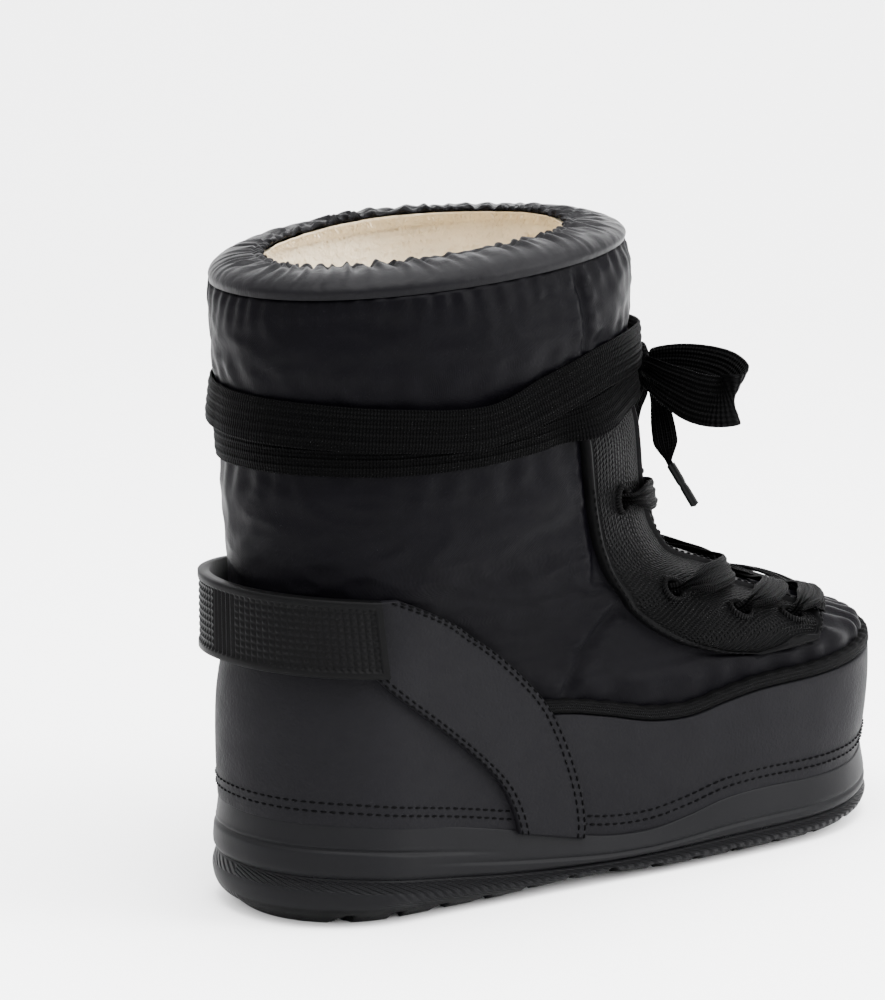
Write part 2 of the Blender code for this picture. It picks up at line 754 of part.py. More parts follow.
def make_rand():
    """The tall rubberised band round the toe."""
    def low(turn):
        return sole_edge(turn) + CLEARANCE

    def high(turn):
        return rand_top(turn) - BINDING_WIDTH

    places = rand_places(low, high, 5, CLEARANCE)
    outside, inside = panel_grid(places, RAND_OUT), panel_grid(places, SEAT)
    return add_patch_solid("toe_rand", outside, inside, "rand_leather")


def make_binding():
    """The braided tape along the rand's upper edge."""
    def low(turn):
        return rand_top(turn) - BINDING_WIDTH + CLEARANCE

    places = rand_places(low, rand_top, 2, CLEARANCE)
    outside = panel_grid(places, SEAT + BINDING_THICKNESS)
    return add_patch_solid("rand_binding", outside, panel_grid(places, SEAT), "tape")


# The last of the upper's ring turns on each side that the counter's columns use
COUNTER_RING = 7
COUNTER_ROWS = 11


def make_counter():
    """The heel counter, from the sole's edge to behind the strap."""
    places = []
    for row in range(COUNTER_ROWS):
        share = row / (COUNTER_ROWS - 1)
        reach = 1.0
        for _ in range(8):
            low = sole_edge(reach) + CLEARANCE
            height = low + (COUNTER_HEIGHT - low) * share
            reach = turn_at(joint_place(height) - CLEARANCE, level_at(reach, height, PANEL_TOP), 1)
        line = []
        for turn in turns_between(-reach, reach, -COUNTER_RING, COUNTER_RING):
            low = sole_edge(turn) + CLEARANCE
            line.append((turn, low + (COUNTER_HEIGHT - low) * share))
        places.append(line)

    outside, inside = panel_grid(places, RAND_OUT), panel_grid(places, SEAT)
    return add_patch_solid("heel_counter", outside, inside, "rand_leather")


def make_side_panel(name, side):
    """The crescent that leans over the joint of counter and rand, from the strap's end to the sole."""
    rows, columns = 11, 7
    places = []
    top = SIDE_PANEL_HEIGHT
    for row in range(rows):
        line = []
        for column in range(columns):
            across = column / (columns - 1)
            share = row / (rows - 1)
            x = 0.0
            height = top
            for _ in range(4):
                low = edge_height("edge", x) + CLEARANCE
                height = low + (top - low) * share
                rear, front = panel_station(height, "rear"), panel_station(height, "front")
                x = rear + (front - rear) * across
            level = level_at(side * 0.8, height, PANEL_TOP)
            line.append((turn_at(x, level, side), height))
        places.append(line)

    return add_patch_solid(name, panel_grid(places, PANEL_OUT), panel_grid(places, PANEL_IN), "rand_leather")


# Heel strap

# A level that the strap never reaches
STRAP_TOP = 9.5
# Its section is a plate with a raised rim, as places across its width and depths
RIM_PLACE = STRAP_RIM_WIDTH / STRAP_WIDTH
STRAP_PROFILE = ((0.0, 0.0), (1.0, 0.0), (1.0, STRAP_THICKNESS + STRAP_RIM),
                 (1.0 - RIM_PLACE, STRAP_THICKNESS + STRAP_RIM), (1.0 - RIM_PLACE, STRAP_THICKNESS),
                 (RIM_PLACE, STRAP_THICKNESS), (RIM_PLACE, STRAP_THICKNESS + STRAP_RIM),
                 (0.0, STRAP_THICKNESS + STRAP_RIM))


def strap_section(along):
    """Section of the strap at a place from -1 at its outer end over the heel to 1 at its inner end."""
    half = 0.5 * STRAP_WIDTH
    middle = STRAP_HEIGHT - STRAP_DROP * along ** 2
    free = 1.0 - along ** 4
    reach = turn_at(STRAP_REACH - HEEL_SET, level_at(0.3, middle, STRAP_TOP), 1)
    stand = PANEL_OUT + SEAT + STRAP_STANDOFF * free
    edges, normals = [], []
    for end in (-1, 1):
        turn = reach * along * (1.0 + end * STRAP_SLANT)
        level = level_at(turn, middle + end * half, STRAP_TOP)
        normal = upper_normal(turn, level)
        normals.append(Vector((normal.x, normal.y, 0.0)).normalized())
        edge = on_upper(turn, level, stand)
        edges.append(Vector((edge.x, edge.y, middle + end * half)))
    low, high = edges
    flat = (normals[0] + normals[1]).normalized()
    gap = (low - high).dot(flat) - STRAP_LEAN
    high = high + flat * max(gap, 0.0) * free
    up = (high - low).normalized()
    out = flat - up * flat.dot(up)
    out.normalize()
    section = []
    for place, depth in STRAP_PROFILE:
        section.append(low.lerp(high, place) + out * depth)
    return section


def make_strap():
    """The moulded strap that stands off the heel and ends on the side panels."""
    steps = 24
    sections = [strap_section(2.0 * step / steps - 1.0) for step in range(steps + 1)]
    return add_swept_solid("heel_strap", sections, "trim_rubber", sharp=30.0)


# Eyestays and eyelets

EYESTAY_OUT = SEAT + EYESTAY_THICKNESS
# Levels of the eyestay's rows: the upper's own, with finer ones at the toe end and under the laces
EYESTAY_LEVELS = (3.3, 3.6, 3.9, 4.5, 5.1, 5.7, 6.3, 6.9, 7.5, 8.2, 8.9, 9.6, 10.4, 11.2, 11.9)
# The upper's ring turns that its columns use, counted from the front, and the slope in its rim in degrees
EYESTAY_RINGS = (4, 7)
RIM_SLOPE = 1.5
# Levels between which it grows thinner under the wraps, and the share of its thickness that goes
TAPER_START = 11.2
TAPER_END = EYESTAY_LEVELS[-1]
TAPER_SHARE = 0.62


def eyestay_turn(side, degrees):
    """Turn round the boot at an angle from its front; side is 1 for the inner and -1 for the outer side."""
    return math.pi - side * math.radians(degrees)


def eyestay_edge(name, level):
    """Angle from the front of the eyestay's throat edge or outer edge at a level."""
    return smooth_value(EYESTAY_RISING, EYESTAY_COLUMNS.index(name), level)


def eyestay_stand(level, raised):
    """How far the eyestay's face stands off the upper. It grows thinner where the lace wraps cover it."""
    thin = 1.0 - TAPER_SHARE * smooth_step(level, TAPER_START, TAPER_END)
    return SEAT + (EYESTAY_THICKNESS + EYESTAY_RIM * raised) * thin


def eyestay_columns(level):
    """Angles from the front across the eyestay at a level, each with its rim's share."""
    throat, outer = eyestay_edge("throat", level), eyestay_edge("outer", level)
    rim = math.degrees(EYESTAY_RIM_WIDTH / (0.5 * SHAFT_WIDTH))
    start, end = math.radians(throat + rim + RIM_SLOPE), math.radians(outer - rim - RIM_SLOPE)
    face = [math.degrees(turn) for turn in turns_between(start, end, *EYESTAY_RINGS)]
    columns = [(throat, 1.0), (throat + rim, 1.0)]
    columns += [(degrees, 0.0) for degrees in face]
    return columns + [(outer - rim, 1.0), (outer, 1.0)]


def eyestay_grid(side, face):
    """Grid of the eyestay's face, with its raised rim, or of its back."""
    grid = []
    for level in EYESTAY_LEVELS:
        lower_rim = 1.0 if level < EYESTAY_LEVELS[2] else 0.0
        line = []
        for degrees, raised in eyestay_columns(level):
            out = eyestay_stand(level, max(raised, lower_rim)) if face else SEAT
            line.append(on_upper(eyestay_turn(side, degrees), level, out))
        grid.append(line if side < 0 else line[::-1])
    return grid


def eyelet_frame(side, index):
    """Centre, long direction, cross direction and outward direction of an eyelet on the eyestay's face."""
    level, degrees = EYELET_ROWS[index]
    turn = eyestay_turn(side, degrees)
    centre = on_upper(turn, level, EYESTAY_OUT)
    out = upper_normal(turn, level)
    along = (upper_point(turn, level + 0.1) - upper_point(turn, level - 0.1)).normalized()
    across = out.cross(along).normalized()
    return centre, along, across, out


def eyelet_holes(name, side):
    """Oval pegs through the eyestay where the lace comes out."""
    points, faces = [], []
    count = 10
    depth = EYESTAY_THICKNESS
    for index in range(len(EYELET_ROWS)):
        centre, along, across, out = eyelet_frame(side, index)
        base = len(points)
        for shift in (-2.5 * depth, 2.0 * depth):
            for step in range(count):
                angle = 2.0 * math.pi * step / count
                half_length = 0.5 * EYELET_LENGTH - EYELET_RING + EYELET_HOLE_PLAY
                half_width = 0.5 * EYELET_WIDTH - EYELET_RING + EYELET_HOLE_PLAY
                place = along * half_length * math.cos(angle) + across * half_width * math.sin(angle)
                points.append(centre + place + out * shift)
        for step in range(count):
            beside = (step + 1) % count
            faces.append((base + step, base + beside, base + count + beside, base + count + step))
        faces.append(tuple(base + step for step in range(count)))
        faces.append(tuple(base + count + step for step in range(count)))
    return add_solid(name, points, faces, None)


def make_eyestay(name, side):
    """The moulded panel beside the throat, with its raised rim and four lace holes."""
    eyestay = add_patch_solid(name, eyestay_grid(side, True), eyestay_grid(side, False), "trim_rubber", 30.0)
    cut_away(eyestay, eyelet_holes(name + "_cutter", side))
    return eyestay


def make_eyelet(name, side, index):
    """A raised oval ring round a lace hole."""
    centre, along, across, out = eyelet_frame(side, index)
    count = 12
    profile = ((-0.5, 0.0), (0.5, 0.0), (0.32, 1.0), (-0.32, 1.0))
    sections = []
    for step in range(count):
        angle = 2.0 * math.pi * step / count
        half_length = 0.5 * (EYELET_LENGTH - EYELET_RING)
        half_width = 0.5 * (EYELET_WIDTH - EYELET_RING)
        place = centre + along * half_length * math.cos(angle) + across * half_width * math.sin(angle)
        away = (along * math.cos(angle) + across * math.sin(angle)).normalized()
        lift = out * SEAT
        sections.append([place + away * x * EYELET_RING + out * y * EYELET_RISE + lift for x, y in profile])
    return add_swept_solid(name, sections, "trim_rubber", closed=True)


# Laces

def eyestay_cover(turn, level):
    """Height of the eyestay's face over the upper at a place that a wrap crosses, and 0 beside it."""
    degrees = abs(180.0 - math.degrees(abs(turn)))
    margin = 4.0
    if level > TAPER_END + 0.1 or degrees > eyestay_edge("outer", level) + margin:
        return 0.0
    return eyestay_stand(level, 1.0)


def lean(heights, top):
    """Heights of a band's lower and upper edge, over heights that it has to clear at even places across."""
    top = max(top, heights[-1])
    last = len(heights) - 1
    low = 0.0
    for index, height in enumerate(heights[:-1]):
        low = max(low, (height - top * index / last) / (1.0 - index / last))
    return low, top


# Steps of a wrap round the boot, and places across it where what lies under it is measured
WRAP_STEPS = 48
WRAP_PLACES = 9


def wrap_edges(turn, middle, under, top):
    """Places of a wrap's four corners at a turn: what lies under it gives how far each edge stands off."""
    half = 0.5 * LACE_WIDTH
    low, high = lean([height + SEAT for height in under], top)
    section = []
    corners = ((-half, low), (half, high), (half, high + LACE_THICKNESS), (-half, low + LACE_THICKNESS))
    for up, out in corners:
        section.append(on_upper(turn, level_at(turn, middle + up, TOP_LEVEL), out))
    return section, low, high


def make_wraps():
    """The two turns of the lace round the shaft: the low one lies on the upper, the high one leans on it."""
    low_sections, high_sections = [], []
    shares = [index / (WRAP_PLACES - 1) for index in range(WRAP_PLACES)]
    overlap_start, overlap_full = 0.20, 0.50
    for step in range(WRAP_STEPS):
        degrees = 360.0 * step / WRAP_STEPS
        turn = -math.radians(degrees)
        low_middle = smooth_value(WRAP_ROWS, WRAP_COLUMNS.index("low"), degrees) * UPPER_HEIGHT
        high_middle = smooth_value(WRAP_ROWS, WRAP_COLUMNS.index("high"), degrees) * UPPER_HEIGHT
        under = []
        for share in shares:
            height = low_middle + (share - 0.5) * LACE_WIDTH
            under.append(eyestay_cover(turn, level_at(turn, height, TOP_LEVEL)))
        section, low, high = wrap_edges(turn, low_middle, under, 0.0)
        low_sections.append(section)
        over = []
        for share in shares:
            height = high_middle + (share - 0.5) * LACE_WIDTH
            place = (height - low_middle) / LACE_WIDTH + 0.5
            stand = eyestay_cover(turn, level_at(turn, height, TOP_LEVEL))
            if place < 1.0 + CLEARANCE / LACE_WIDTH:
                stand = low + (high - low) * place + LACE_THICKNESS + CLEARANCE
            over.append(stand)
        shared = 1.0 - (high_middle - low_middle) / LACE_WIDTH
        ride = (max(low, high) + LACE_THICKNESS + SEAT) * smooth_step(shared, overlap_start, overlap_full)
        high_sections.append(wrap_edges(turn, high_middle, over, ride)[0])
    add_swept_solid("lace_wrap_low", low_sections, "lace", closed=True)
    add_swept_solid("lace_wrap_high", high_sections, "lace", closed=True)


def smooth_route(route, count):
    """Points read from a smooth curve through a route's own points."""
    knots = [Vector(place) for place in route]
    points = []
    for step in range(count):
        place = step / (count - 1) * (len(knots) - 1)
        low = min(int(place), len(knots) - 2)
        u = place - low
        before, start = knots[max(low - 1, 0)], knots[low]
        end, after = knots[low + 1], knots[min(low + 2, len(knots) - 1)]
        points.append(0.5 * (2.0 * start + (end - before) * u
                             + (2.0 * before - 5.0 * start + 4.0 * end - after) * u ** 2
                             + (3.0 * start - before - 3.0 * end + after) * u ** 3))
    return points


def ribbon_sections(points, widths, thickness, upward):
    """Flat sections along a path; upward gives the direction of the ribbon's width at each point."""
    sections = []
    for index, point in enumerate(points):
        ahead = points[min(index + 1, len(points) - 1)] - points[max(index - 1, 0)]
        ahead.normalize()
        wide = upward[index] - ahead * upward[index].dot(ahead)
        wide.normalize()
        thin = ahead.cross(wide)
        half = 0.5 * widths[index]
        deep = 0.5 * thickness[index]
        sections.append([point + wide * x * half + thin * y * deep
                         for x, y in ((-1.0, -1.0), (1.0, -1.0), (1.0, 1.0), (-1.0, 1.0))])
    return sections


# How far a run slants towards the next lower eyelet, its drop below the last one in levels, and the angle
# in degrees that its end keeps from the far eyestay
RUN_SLANT = 0.30
RUN_DROP = 0.6
RUN_END_GAP = 12.0
# A flat run over a dip of the upper is lifted by the dip's depth times this
HOLLOW_LIFT = 1.3

# One run of the lace from an eyelet across the throat: distance from the eyelet's centre in eyelet widths,
# stand is the height over the upper as a share from 0, on the upper, to 1, over the ring.
RUN_COLUMNS = ("distance", "stand", "spread")
RUN_ROWS = ((-0.13, 0.10, 0.0), (-0.03, 0.42, 0.0), (0.07, 0.82, 0.0), (0.22, 1.03, 0.0), (0.50, 1.04, 0.1),
            (0.90, 1.12, 0.5), (1.40, 1.15, 1.0))


def run_sections(start, end, lift):
    """Sections of one lace run from an eyelet's place to a place beside the far eyestay."""
    first, last = on_upper(*start), on_upper(*end)
    length = (last - first).length
    low = 2.0 * SEAT + 0.5 * LACE_THICKNESS
    high = EYESTAY_OUT + SEAT + EYELET_RISE + SEAT + 0.5 * LACE_THICKNESS
    places = [row[0] * EYELET_WIDTH for row in RUN_ROWS]
    steps = 9
    reach = places[-1]
    places += [reach + (length - reach) * (step + 1) / steps for step in range(steps)]
    points, widths, upward = [], [], []
    for distance in places:
        along = distance / length
        turn = start[0] + (end[0] - start[0]) * along
        level = start[1] + (end[1] - start[1]) * along
        share = smooth_value(RUN_ROWS, RUN_COLUMNS.index("stand"), distance / EYELET_WIDTH)
        share *= 1.0 - smooth_step(along, 0.55, 0.85)
        middle = smooth_step(along, 0.35, 0.60) * (1.0 - smooth_step(along, 0.85, 1.0))
        spread = smooth_value(RUN_ROWS, RUN_COLUMNS.index("spread"), distance / EYELET_WIDTH)
        width = BUNCH_WIDTH + (CROSSING_WIDTH - BUNCH_WIDTH) * spread
        stand = low + (high - low) * share + (lift + THROAT_GAP) * middle
        stand += hollow(turn, level, 0.5 * width) * HOLLOW_LIFT
        points.append(on_upper(turn, level, stand))
        widths.append(width)
        upward.append((upper_point(turn, level + 0.1) - upper_point(turn, level - 0.1)).normalized())
    return ribbon_sections(points, widths, [LACE_THICKNESS] * len(points), upward)


def hollow(turn, level, half):
    """How deep the upper dips between two places a distance to each side of a level."""
    here = upper_point(turn, level)
    step = 0.1
    pace = (upper_point(turn, level + step) - here).length / step
    reach = half / pace
    middle = 0.5 * (upper_point(turn, level + reach) + upper_point(turn, level - reach))
    return max(0.0, (middle - here).dot(upper_normal(turn, level)))


def eyelet_place(side, index):
    """Turn and level of an eyelet."""
    level, degrees = EYELET_ROWS[index]
    return eyestay_turn(side, degrees), level


def throat_place(side, level, gap):
    """Turn and level beside an eyestay's throat edge, at an angle from it."""
    return eyestay_turn(side, eyestay_edge("throat", level) - gap), level


def make_crossing(name, index):
    """The runs from a pair of eyelets, which cross over the throat and are joined there."""
    level = EYELET_ROWS[index][0]
    below = EYELET_ROWS[index + 1][0] if index + 1 < len(EYELET_ROWS) else level - RUN_DROP
    target = level + (below - level) * RUN_SLANT
    runs = []
    for side, lift in ((-1, 0.0), (1, RUN_LIFT)):
        sections = run_sections(eyelet_place(side, index), throat_place(-side, target, RUN_END_GAP), lift)
        runs.append(add_swept_solid(name if side < 0 else name + "_over", sections, "lace"))
    join(runs[0], runs[1])
    return runs[0]


def make_loop(name, route):
    """One loop of the bow, narrow at the knot and spread at its end."""
    count = 23
    points = smooth_route(route, count)
    widths, thickness, upward = [], [], []
    for index in range(count):
        share = index / (count - 1)
        spread = math.sin(math.pi * share) ** 0.7 if 0.0 < share < 1.0 else 0.0
        widths.append(LACE_WIDTH * 0.62 + (LOOP_WIDTH - LACE_WIDTH * 0.62) * spread)
        thickness.append(LACE_THICKNESS)
        upward.append(Vector((LOOP_TILT * spread, 0.0, 1.0)))
    return add_swept_solid(name, ribbon_sections(points, widths, thickness, upward), "lace")


# Directions of a lace end's width at the knot and further down
END_WIDE_HIGH = Vector((0.0, -1.0, 0.0))
END_WIDE_LOW = Vector((0.8, -0.6, 0.0))


def make_lace_end(name, route):
    """A short end of the lace, which narrows to its tip."""
    count = 14
    points = smooth_route(route, count)
    widths, thickness, upward = [], [], []
    for index in range(count):
        share = index / (count - 1)
        widths.append(LACE_END_WIDTH + (AGLET_WIDTH - LACE_END_WIDTH) * smooth_step(share, 0.8, 1.0))
        thickness.append(LACE_THICKNESS)
        upward.append(END_WIDE_HIGH.lerp(END_WIDE_LOW, smooth_step(share, 0.35, 0.9)))
    return add_swept_solid(name, ribbon_sections(points, widths, thickness, upward), "lace")


def make_aglet(name, route, tip):
    """The flat stiff tip on a lace end."""
    start = Vector(route[-1])
    ahead = (Vector(tip) - start).normalized()
    count = 4
    points = [start + ahead * (AGLET_GAP + AGLET_LENGTH * step / (count - 1)) for step in range(count)]
    widths = [AGLET_WIDTH] * count
    thickness = [LACE_THICKNESS] * count
    upward = [END_WIDE_LOW] * count
    return add_swept_solid(name, ribbon_sections(points, widths, thickness, upward), "clear_plastic")


def make_knot():
    """The flat knot between the loops."""
    shape = bmesh.new()
    bmesh.ops.create_uvsphere(shape, u_segments=14, v_segments=8, radius=0.5)
    for corner in shape.verts:
        corner.co.x *= KNOT_SIZE * 0.55
        corner.co.y *= KNOT_SIZE * 0.80
        corner.co.z *= KNOT_SIZE * 0.90
    mesh = bpy.data.meshes.new("lace_knot")
    shape.to_mesh(mesh)
    shape.free()
    knot = bpy.data.objects.new("lace_knot", mesh)
    knot.location = KNOT_PLACE
    bpy.context.scene.collection.objects.link(knot)
    mesh.materials.append(material_for("lace_knot", "lace"))
    mesh.shade_smooth()
    return knot


def main():
    clear_scene()
    make_outsole()
    make_midsole()
    make_insole()
    make_upper()
    make_cuff()
    make_rand()
    make_binding()
    make_counter()
    make_strap()
    for word, side in (("outer", -1), ("inner", 1)):
        make_side_panel("side_panel_" + word, side)
        make_eyestay("eyestay_" + word, side)
        for index in range(len(EYELET_ROWS)):
            make_eyelet("eyelet_" + word + "_" + str(index + 1), side, index)
    make_wraps()
    for index in range(len(EYELET_ROWS)):
        make_crossing("lace_crossing_" + str(index + 1), index)
    make_knot()
    make_loop("lace_loop_outer", OUTER_LOOP)
    make_loop("lace_loop_inner", INNER_LOOP)
    make_lace_end("lace_end_outer", OUTER_END)
    make_lace_end("lace_end_inner", INNER_END)
    make_aglet("aglet_outer", OUTER_END, OUTER_TIP)
    make_aglet("aglet_inner", INNER_END, INNER_TIP)


main()
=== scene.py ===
# %% [markdown]
# # An apres ski boot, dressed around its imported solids
#
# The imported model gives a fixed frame: hard solids in metres, with the toe towards +X, the inner
# side of the foot towards +Y, and the ground at zero. This lesson builds the soft and detailed
# surfaces of the boot on that frame. A real boot is sewn from padded nylon, edged with rubberised
# leather, set in a moulded sole and tied with one flat lace.

# %% Load the frame
import math
import random

import bpy
import numpy as np
from mathutils import Matrix, Vector, noise


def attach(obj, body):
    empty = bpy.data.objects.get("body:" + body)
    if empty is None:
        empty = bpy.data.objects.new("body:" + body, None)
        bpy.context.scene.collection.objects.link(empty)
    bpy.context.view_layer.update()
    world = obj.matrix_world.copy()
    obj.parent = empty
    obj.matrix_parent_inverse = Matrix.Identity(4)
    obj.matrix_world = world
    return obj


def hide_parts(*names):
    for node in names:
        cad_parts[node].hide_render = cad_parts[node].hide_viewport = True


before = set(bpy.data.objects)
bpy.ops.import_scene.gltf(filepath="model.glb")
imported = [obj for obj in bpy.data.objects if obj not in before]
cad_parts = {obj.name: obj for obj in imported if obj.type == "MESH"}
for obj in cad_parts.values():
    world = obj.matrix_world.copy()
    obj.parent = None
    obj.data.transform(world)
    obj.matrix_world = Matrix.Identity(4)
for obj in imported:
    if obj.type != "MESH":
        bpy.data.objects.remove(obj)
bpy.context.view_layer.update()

# %% [markdown]
# ## The camera
#
# The photograph is taken from the outer side and a little above, with a long lens. A camera is
# placed by an angle round the boot, an angle above the ground and a distance. The middle of the
# picture isn't the middle of the boot, so the camera is then turned a little about its own place.
# That keeps the perspective, which moving the camera would change.

# %% Place the camera
IMAGE_SIZE = (885, 1000)
AZIMUTH, ELEVATION, DISTANCE = math.radians(-37.0), math.radians(12.95), 1.850
AIM = Vector((0.095, 0.0, 0.118))
AIM_PIXEL = (541.5, 549.9)
FOCAL_PIXELS = 4890.7

back = Vector((math.sin(AZIMUTH) * math.cos(ELEVATION), -math.cos(AZIMUTH) * math.cos(ELEVATION),
               math.sin(ELEVATION)))
right = Vector((math.cos(AZIMUTH), math.sin(AZIMUTH), 0.0))
up = back.cross(right)
ahead = -back + right * (IMAGE_SIZE[0] / 2 - AIM_PIXEL[0]) / FOCAL_PIXELS
ahead = (ahead - up * (IMAGE_SIZE[1] / 2 - AIM_PIXEL[1]) / FOCAL_PIXELS).normalized()
right = (right - ahead * right.dot(ahead)).normalized()
up = right.cross(ahead)

camera_data = bpy.data.cameras.new("camera")
camera_data.sensor_width = 36.0
camera_data.lens = FOCAL_PIXELS * camera_data.sensor_width / max(IMAGE_SIZE)
camera_data.clip_start, camera_data.clip_end = 0.05, 30.0
camera = bpy.data.objects.new("camera", camera_data)
bpy.context.scene.collection.objects.link(camera)
camera.matrix_world = Matrix((
    (right.x, up.x, -ahead.x, AIM.x + back.x * DISTANCE),
    (right.y, up.y, -ahead.y, AIM.y + back.y * DISTANCE),
    (right.z, up.z, -ahead.z, AIM.z + back.z * DISTANCE),
    (0.0, 0.0, 0.0, 1.0)))
bpy.context.scene.camera = camera
print("lens", round(camera_data.lens, 1), "mm")

# %% [markdown]
# ## One surface that every piece lies on
#
# A sewn boot is wrapped around a last, so every panel, seam and lace follows the same curved
# wall. The wall is a table of rows from the feather line up to the collar. Each row is a rounded
# outline that the table stretches, lifts and narrows. Any place on the boot is then a turn round
# it and a level up it. The same table shaped the solids, so the pieces made here land on them.

# %% The table of the wall
LAST_LENGTH = 0.2850
HEEL_SET = 0.0420
BALL_WIDTH = 0.0980
SHAFT_DEPTH = 0.1680
SHAFT_WIDTH = 0.1215
UPPER_HEIGHT = 0.2340
UPPER_WALL = 0.0060
TOE_SHIFT = 0.0020
SOLE_EDGE_HEIGHT = 0.0400
PARTING_HEIGHT = 0.0200
RAND_HEIGHT = 0.0760
WAIST_LIFT = 0.0020
TOE_SPRING = 0.0085
ROUND_PROFILE = 2.1

# Rows of the upper from its feather line to the collar seam.
# back and front are shares of the length. It turns from LAST_LENGTH to SHAFT_DEPTH as shaft goes to 1.
# back_rise, front_rise and sag are shares of UPPER_HEIGHT, half is a share of half the width.
# heel_round and toe_round are the shares of the row's length that its two ends are rounded over.
# foot is how much of the foot's left and right curve the row has.
UPPER_COLUMNS = ("back", "back_rise", "front", "front_rise", "sag", "half",
                 "heel_round", "toe_round", "foot", "shaft")
UPPER_ROWS = (
    (0.006, 0.107, 0.978, 0.073, 0.034, 0.970, 0.155, 0.200, 1.00, 0.00),
    (0.002, 0.180, 0.994, 0.165, 0.030, 0.995, 0.155, 0.200, 1.00, 0.00),
    (0.000, 0.250, 1.000, 0.250, 0.016, 1.000, 0.155, 0.200, 1.00, 0.00),
    (0.001, 0.322, 0.993, 0.322, 0.004, 0.992, 0.155, 0.203, 1.00, 0.00),
    (0.005, 0.366, 0.951, 0.344, 0.000, 0.972, 0.160, 0.215, 1.00, 0.00),
    (0.010, 0.402, 0.889, 0.368, 0.000, 0.945, 0.175, 0.232, 0.95, 0.00),
    (0.014, 0.434, 0.820, 0.397, 0.000, 0.925, 0.200, 0.255, 0.85, 0.00),
    (0.016, 0.466, 0.748, 0.434, 0.000, 0.922, 0.240, 0.290, 0.65, 0.00),
    (0.017, 0.506, 1.012, 0.480, 0.000, 0.790, 0.290, 0.340, 0.45, 0.80),
    (0.019, 0.552, 1.066, 0.536, 0.000, 0.785, 0.350, 0.400, 0.25, 1.00),
    (0.018, 0.606, 1.026, 0.606, 0.000, 0.825, 0.410, 0.450, 0.10, 1.00),
    (0.013, 0.686, 1.006, 0.694, 0.000, 0.872, 0.460, 0.480, 0.00, 1.00),
    (0.006, 0.788, 0.984, 0.806, 0.000, 0.922, 0.490, 0.490, 0.00, 1.00),
    (0.000, 0.890, 0.984, 0.926, 0.000, 0.968, 0.500, 0.500, 0.00, 1.00),
    (-0.006, 0.986, 0.966, 1.030, 0.000, 0.992, 0.500, 0.500, 0.00, 1.00),
)

# Left and right curve of the foot: half widths at stations from heel to toe, as shares of the row's half
FOOT_COLUMNS = ("station", "outer", "inner")
FOOT_ROWS = (
    (0.00, 0.86, 0.86),
    (0.10, 0.88, 0.88),
    (0.25, 0.90, 0.87),
    (0.42, 0.94, 0.86),
    (0.60, 1.02, 0.94),
    (0.74, 1.04, 1.02),
    (0.88, 1.00, 1.02),
    (1.00, 0.92, 0.95),
)

# How the feather line sags between heel and toe: station and share of the row's sag
SAG_ROWS = ((0.00, 0.00), (0.20, 0.22), (0.40, 0.70), (0.60, 1.00), (0.80, 0.72), (1.00, 0.00))

# Edges along the boot, at stations along LAST_LENGTH.
# edge is a share of SOLE_EDGE_HEIGHT, parting of PARTING_HEIGHT, rand of RAND_HEIGHT,
# lift of WAIST_LIFT and spring of TOE_SPRING.
EDGE_COLUMNS = ("station", "edge", "parting", "rand", "lift", "spring")
EDGE_ROWS = (
    (0.00, 1.02, 1.00, 0.98, 0.0, 0.00),
    (0.08, 0.98, 0.93, 0.98, 0.0, 0.00),
    (0.15, 0.90, 0.80, 0.98, 0.0, 0.00),
    (0.23, 0.80, 0.66, 0.98, 0.0, 0.00),
    (0.31, 0.68, 0.53, 0.98, 0.0, 0.00),
    (0.39, 0.55, 0.45, 0.97, 0.9, 0.00),
    (0.46, 0.45, 0.41, 0.92, 0.9, 0.00),
    (0.53, 0.43, 0.41, 0.86, 0.0, 0.00),
    (0.59, 0.50, 0.43, 0.85, 0.0, 0.00),
    (0.65, 0.60, 0.45, 0.89, 0.0, 0.00),
    (0.71, 0.63, 0.46, 0.92, 0.0, 0.00),
    (0.80, 0.62, 0.47, 0.93, 0.0, 0.00),
    (0.90, 0.64, 0.52, 0.95, 0.0, 0.22),
    (1.00, 0.74, 0.66, 0.98, 0.0, 1.00),
)

# Side panel that leans from the strap's end down to the sole.
# height is a share of PANEL_HEIGHT, rear and front are stations along LAST_LENGTH.
PANEL_COLUMNS = ("height", "rear", "front")
PANEL_ROWS = (
    (0.200, 0.320, 0.422),
    (0.290, 0.308, 0.416),
    (0.390, 0.284, 0.404),
    (0.490, 0.242, 0.388),
    (0.590, 0.192, 0.366),
    (0.690, 0.140, 0.332),
    (0.780, 0.106, 0.294),
    (0.870, 0.102, 0.240),
    (0.940, 0.104, 0.190),
    (1.000, 0.108, 0.136),
)

# Eyestay on each side of the throat: levels, with the angle of its two edges from the front in degrees
EYESTAY_COLUMNS = ("level", "throat", "outer")
EYESTAY_ROWS = (
    (11.90, 30.0, 67.5),
    (11.20, 30.0, 67.5),
    (10.10, 30.0, 66.0),
    (9.00, 29.0, 66.5),
    (8.00, 27.0, 69.5),
    (7.10, 25.0, 72.5),
    (6.30, 24.5, 74.5),
    (5.60, 25.5, 75.5),
    (5.00, 28.0, 75.5),
    (4.40, 34.0, 74.5),
    (3.90, 42.0, 72.5),
    (3.60, 46.0, 70.0),
    (3.30, 49.5, 63.0),
)
EYESTAY_RISING = EYESTAY_ROWS[::-1]

# Places of the eyelets: level, and turn from the front in degrees
EYELET_ROWS = ((10.15, 51.0), (7.45, 57.5), (5.85, 49.0), (4.85, 41.0))
PANEL_HEIGHT = 0.1215
COUNTER_HEIGHT = 0.1170
LEVELS = np.arange(len(UPPER_ROWS), dtype=float)
ROW = {name: np.array([row[index] for row in UPPER_ROWS]) for index, name in enumerate(UPPER_COLUMNS)}
print("wall table has", len(UPPER_ROWS), "rows")


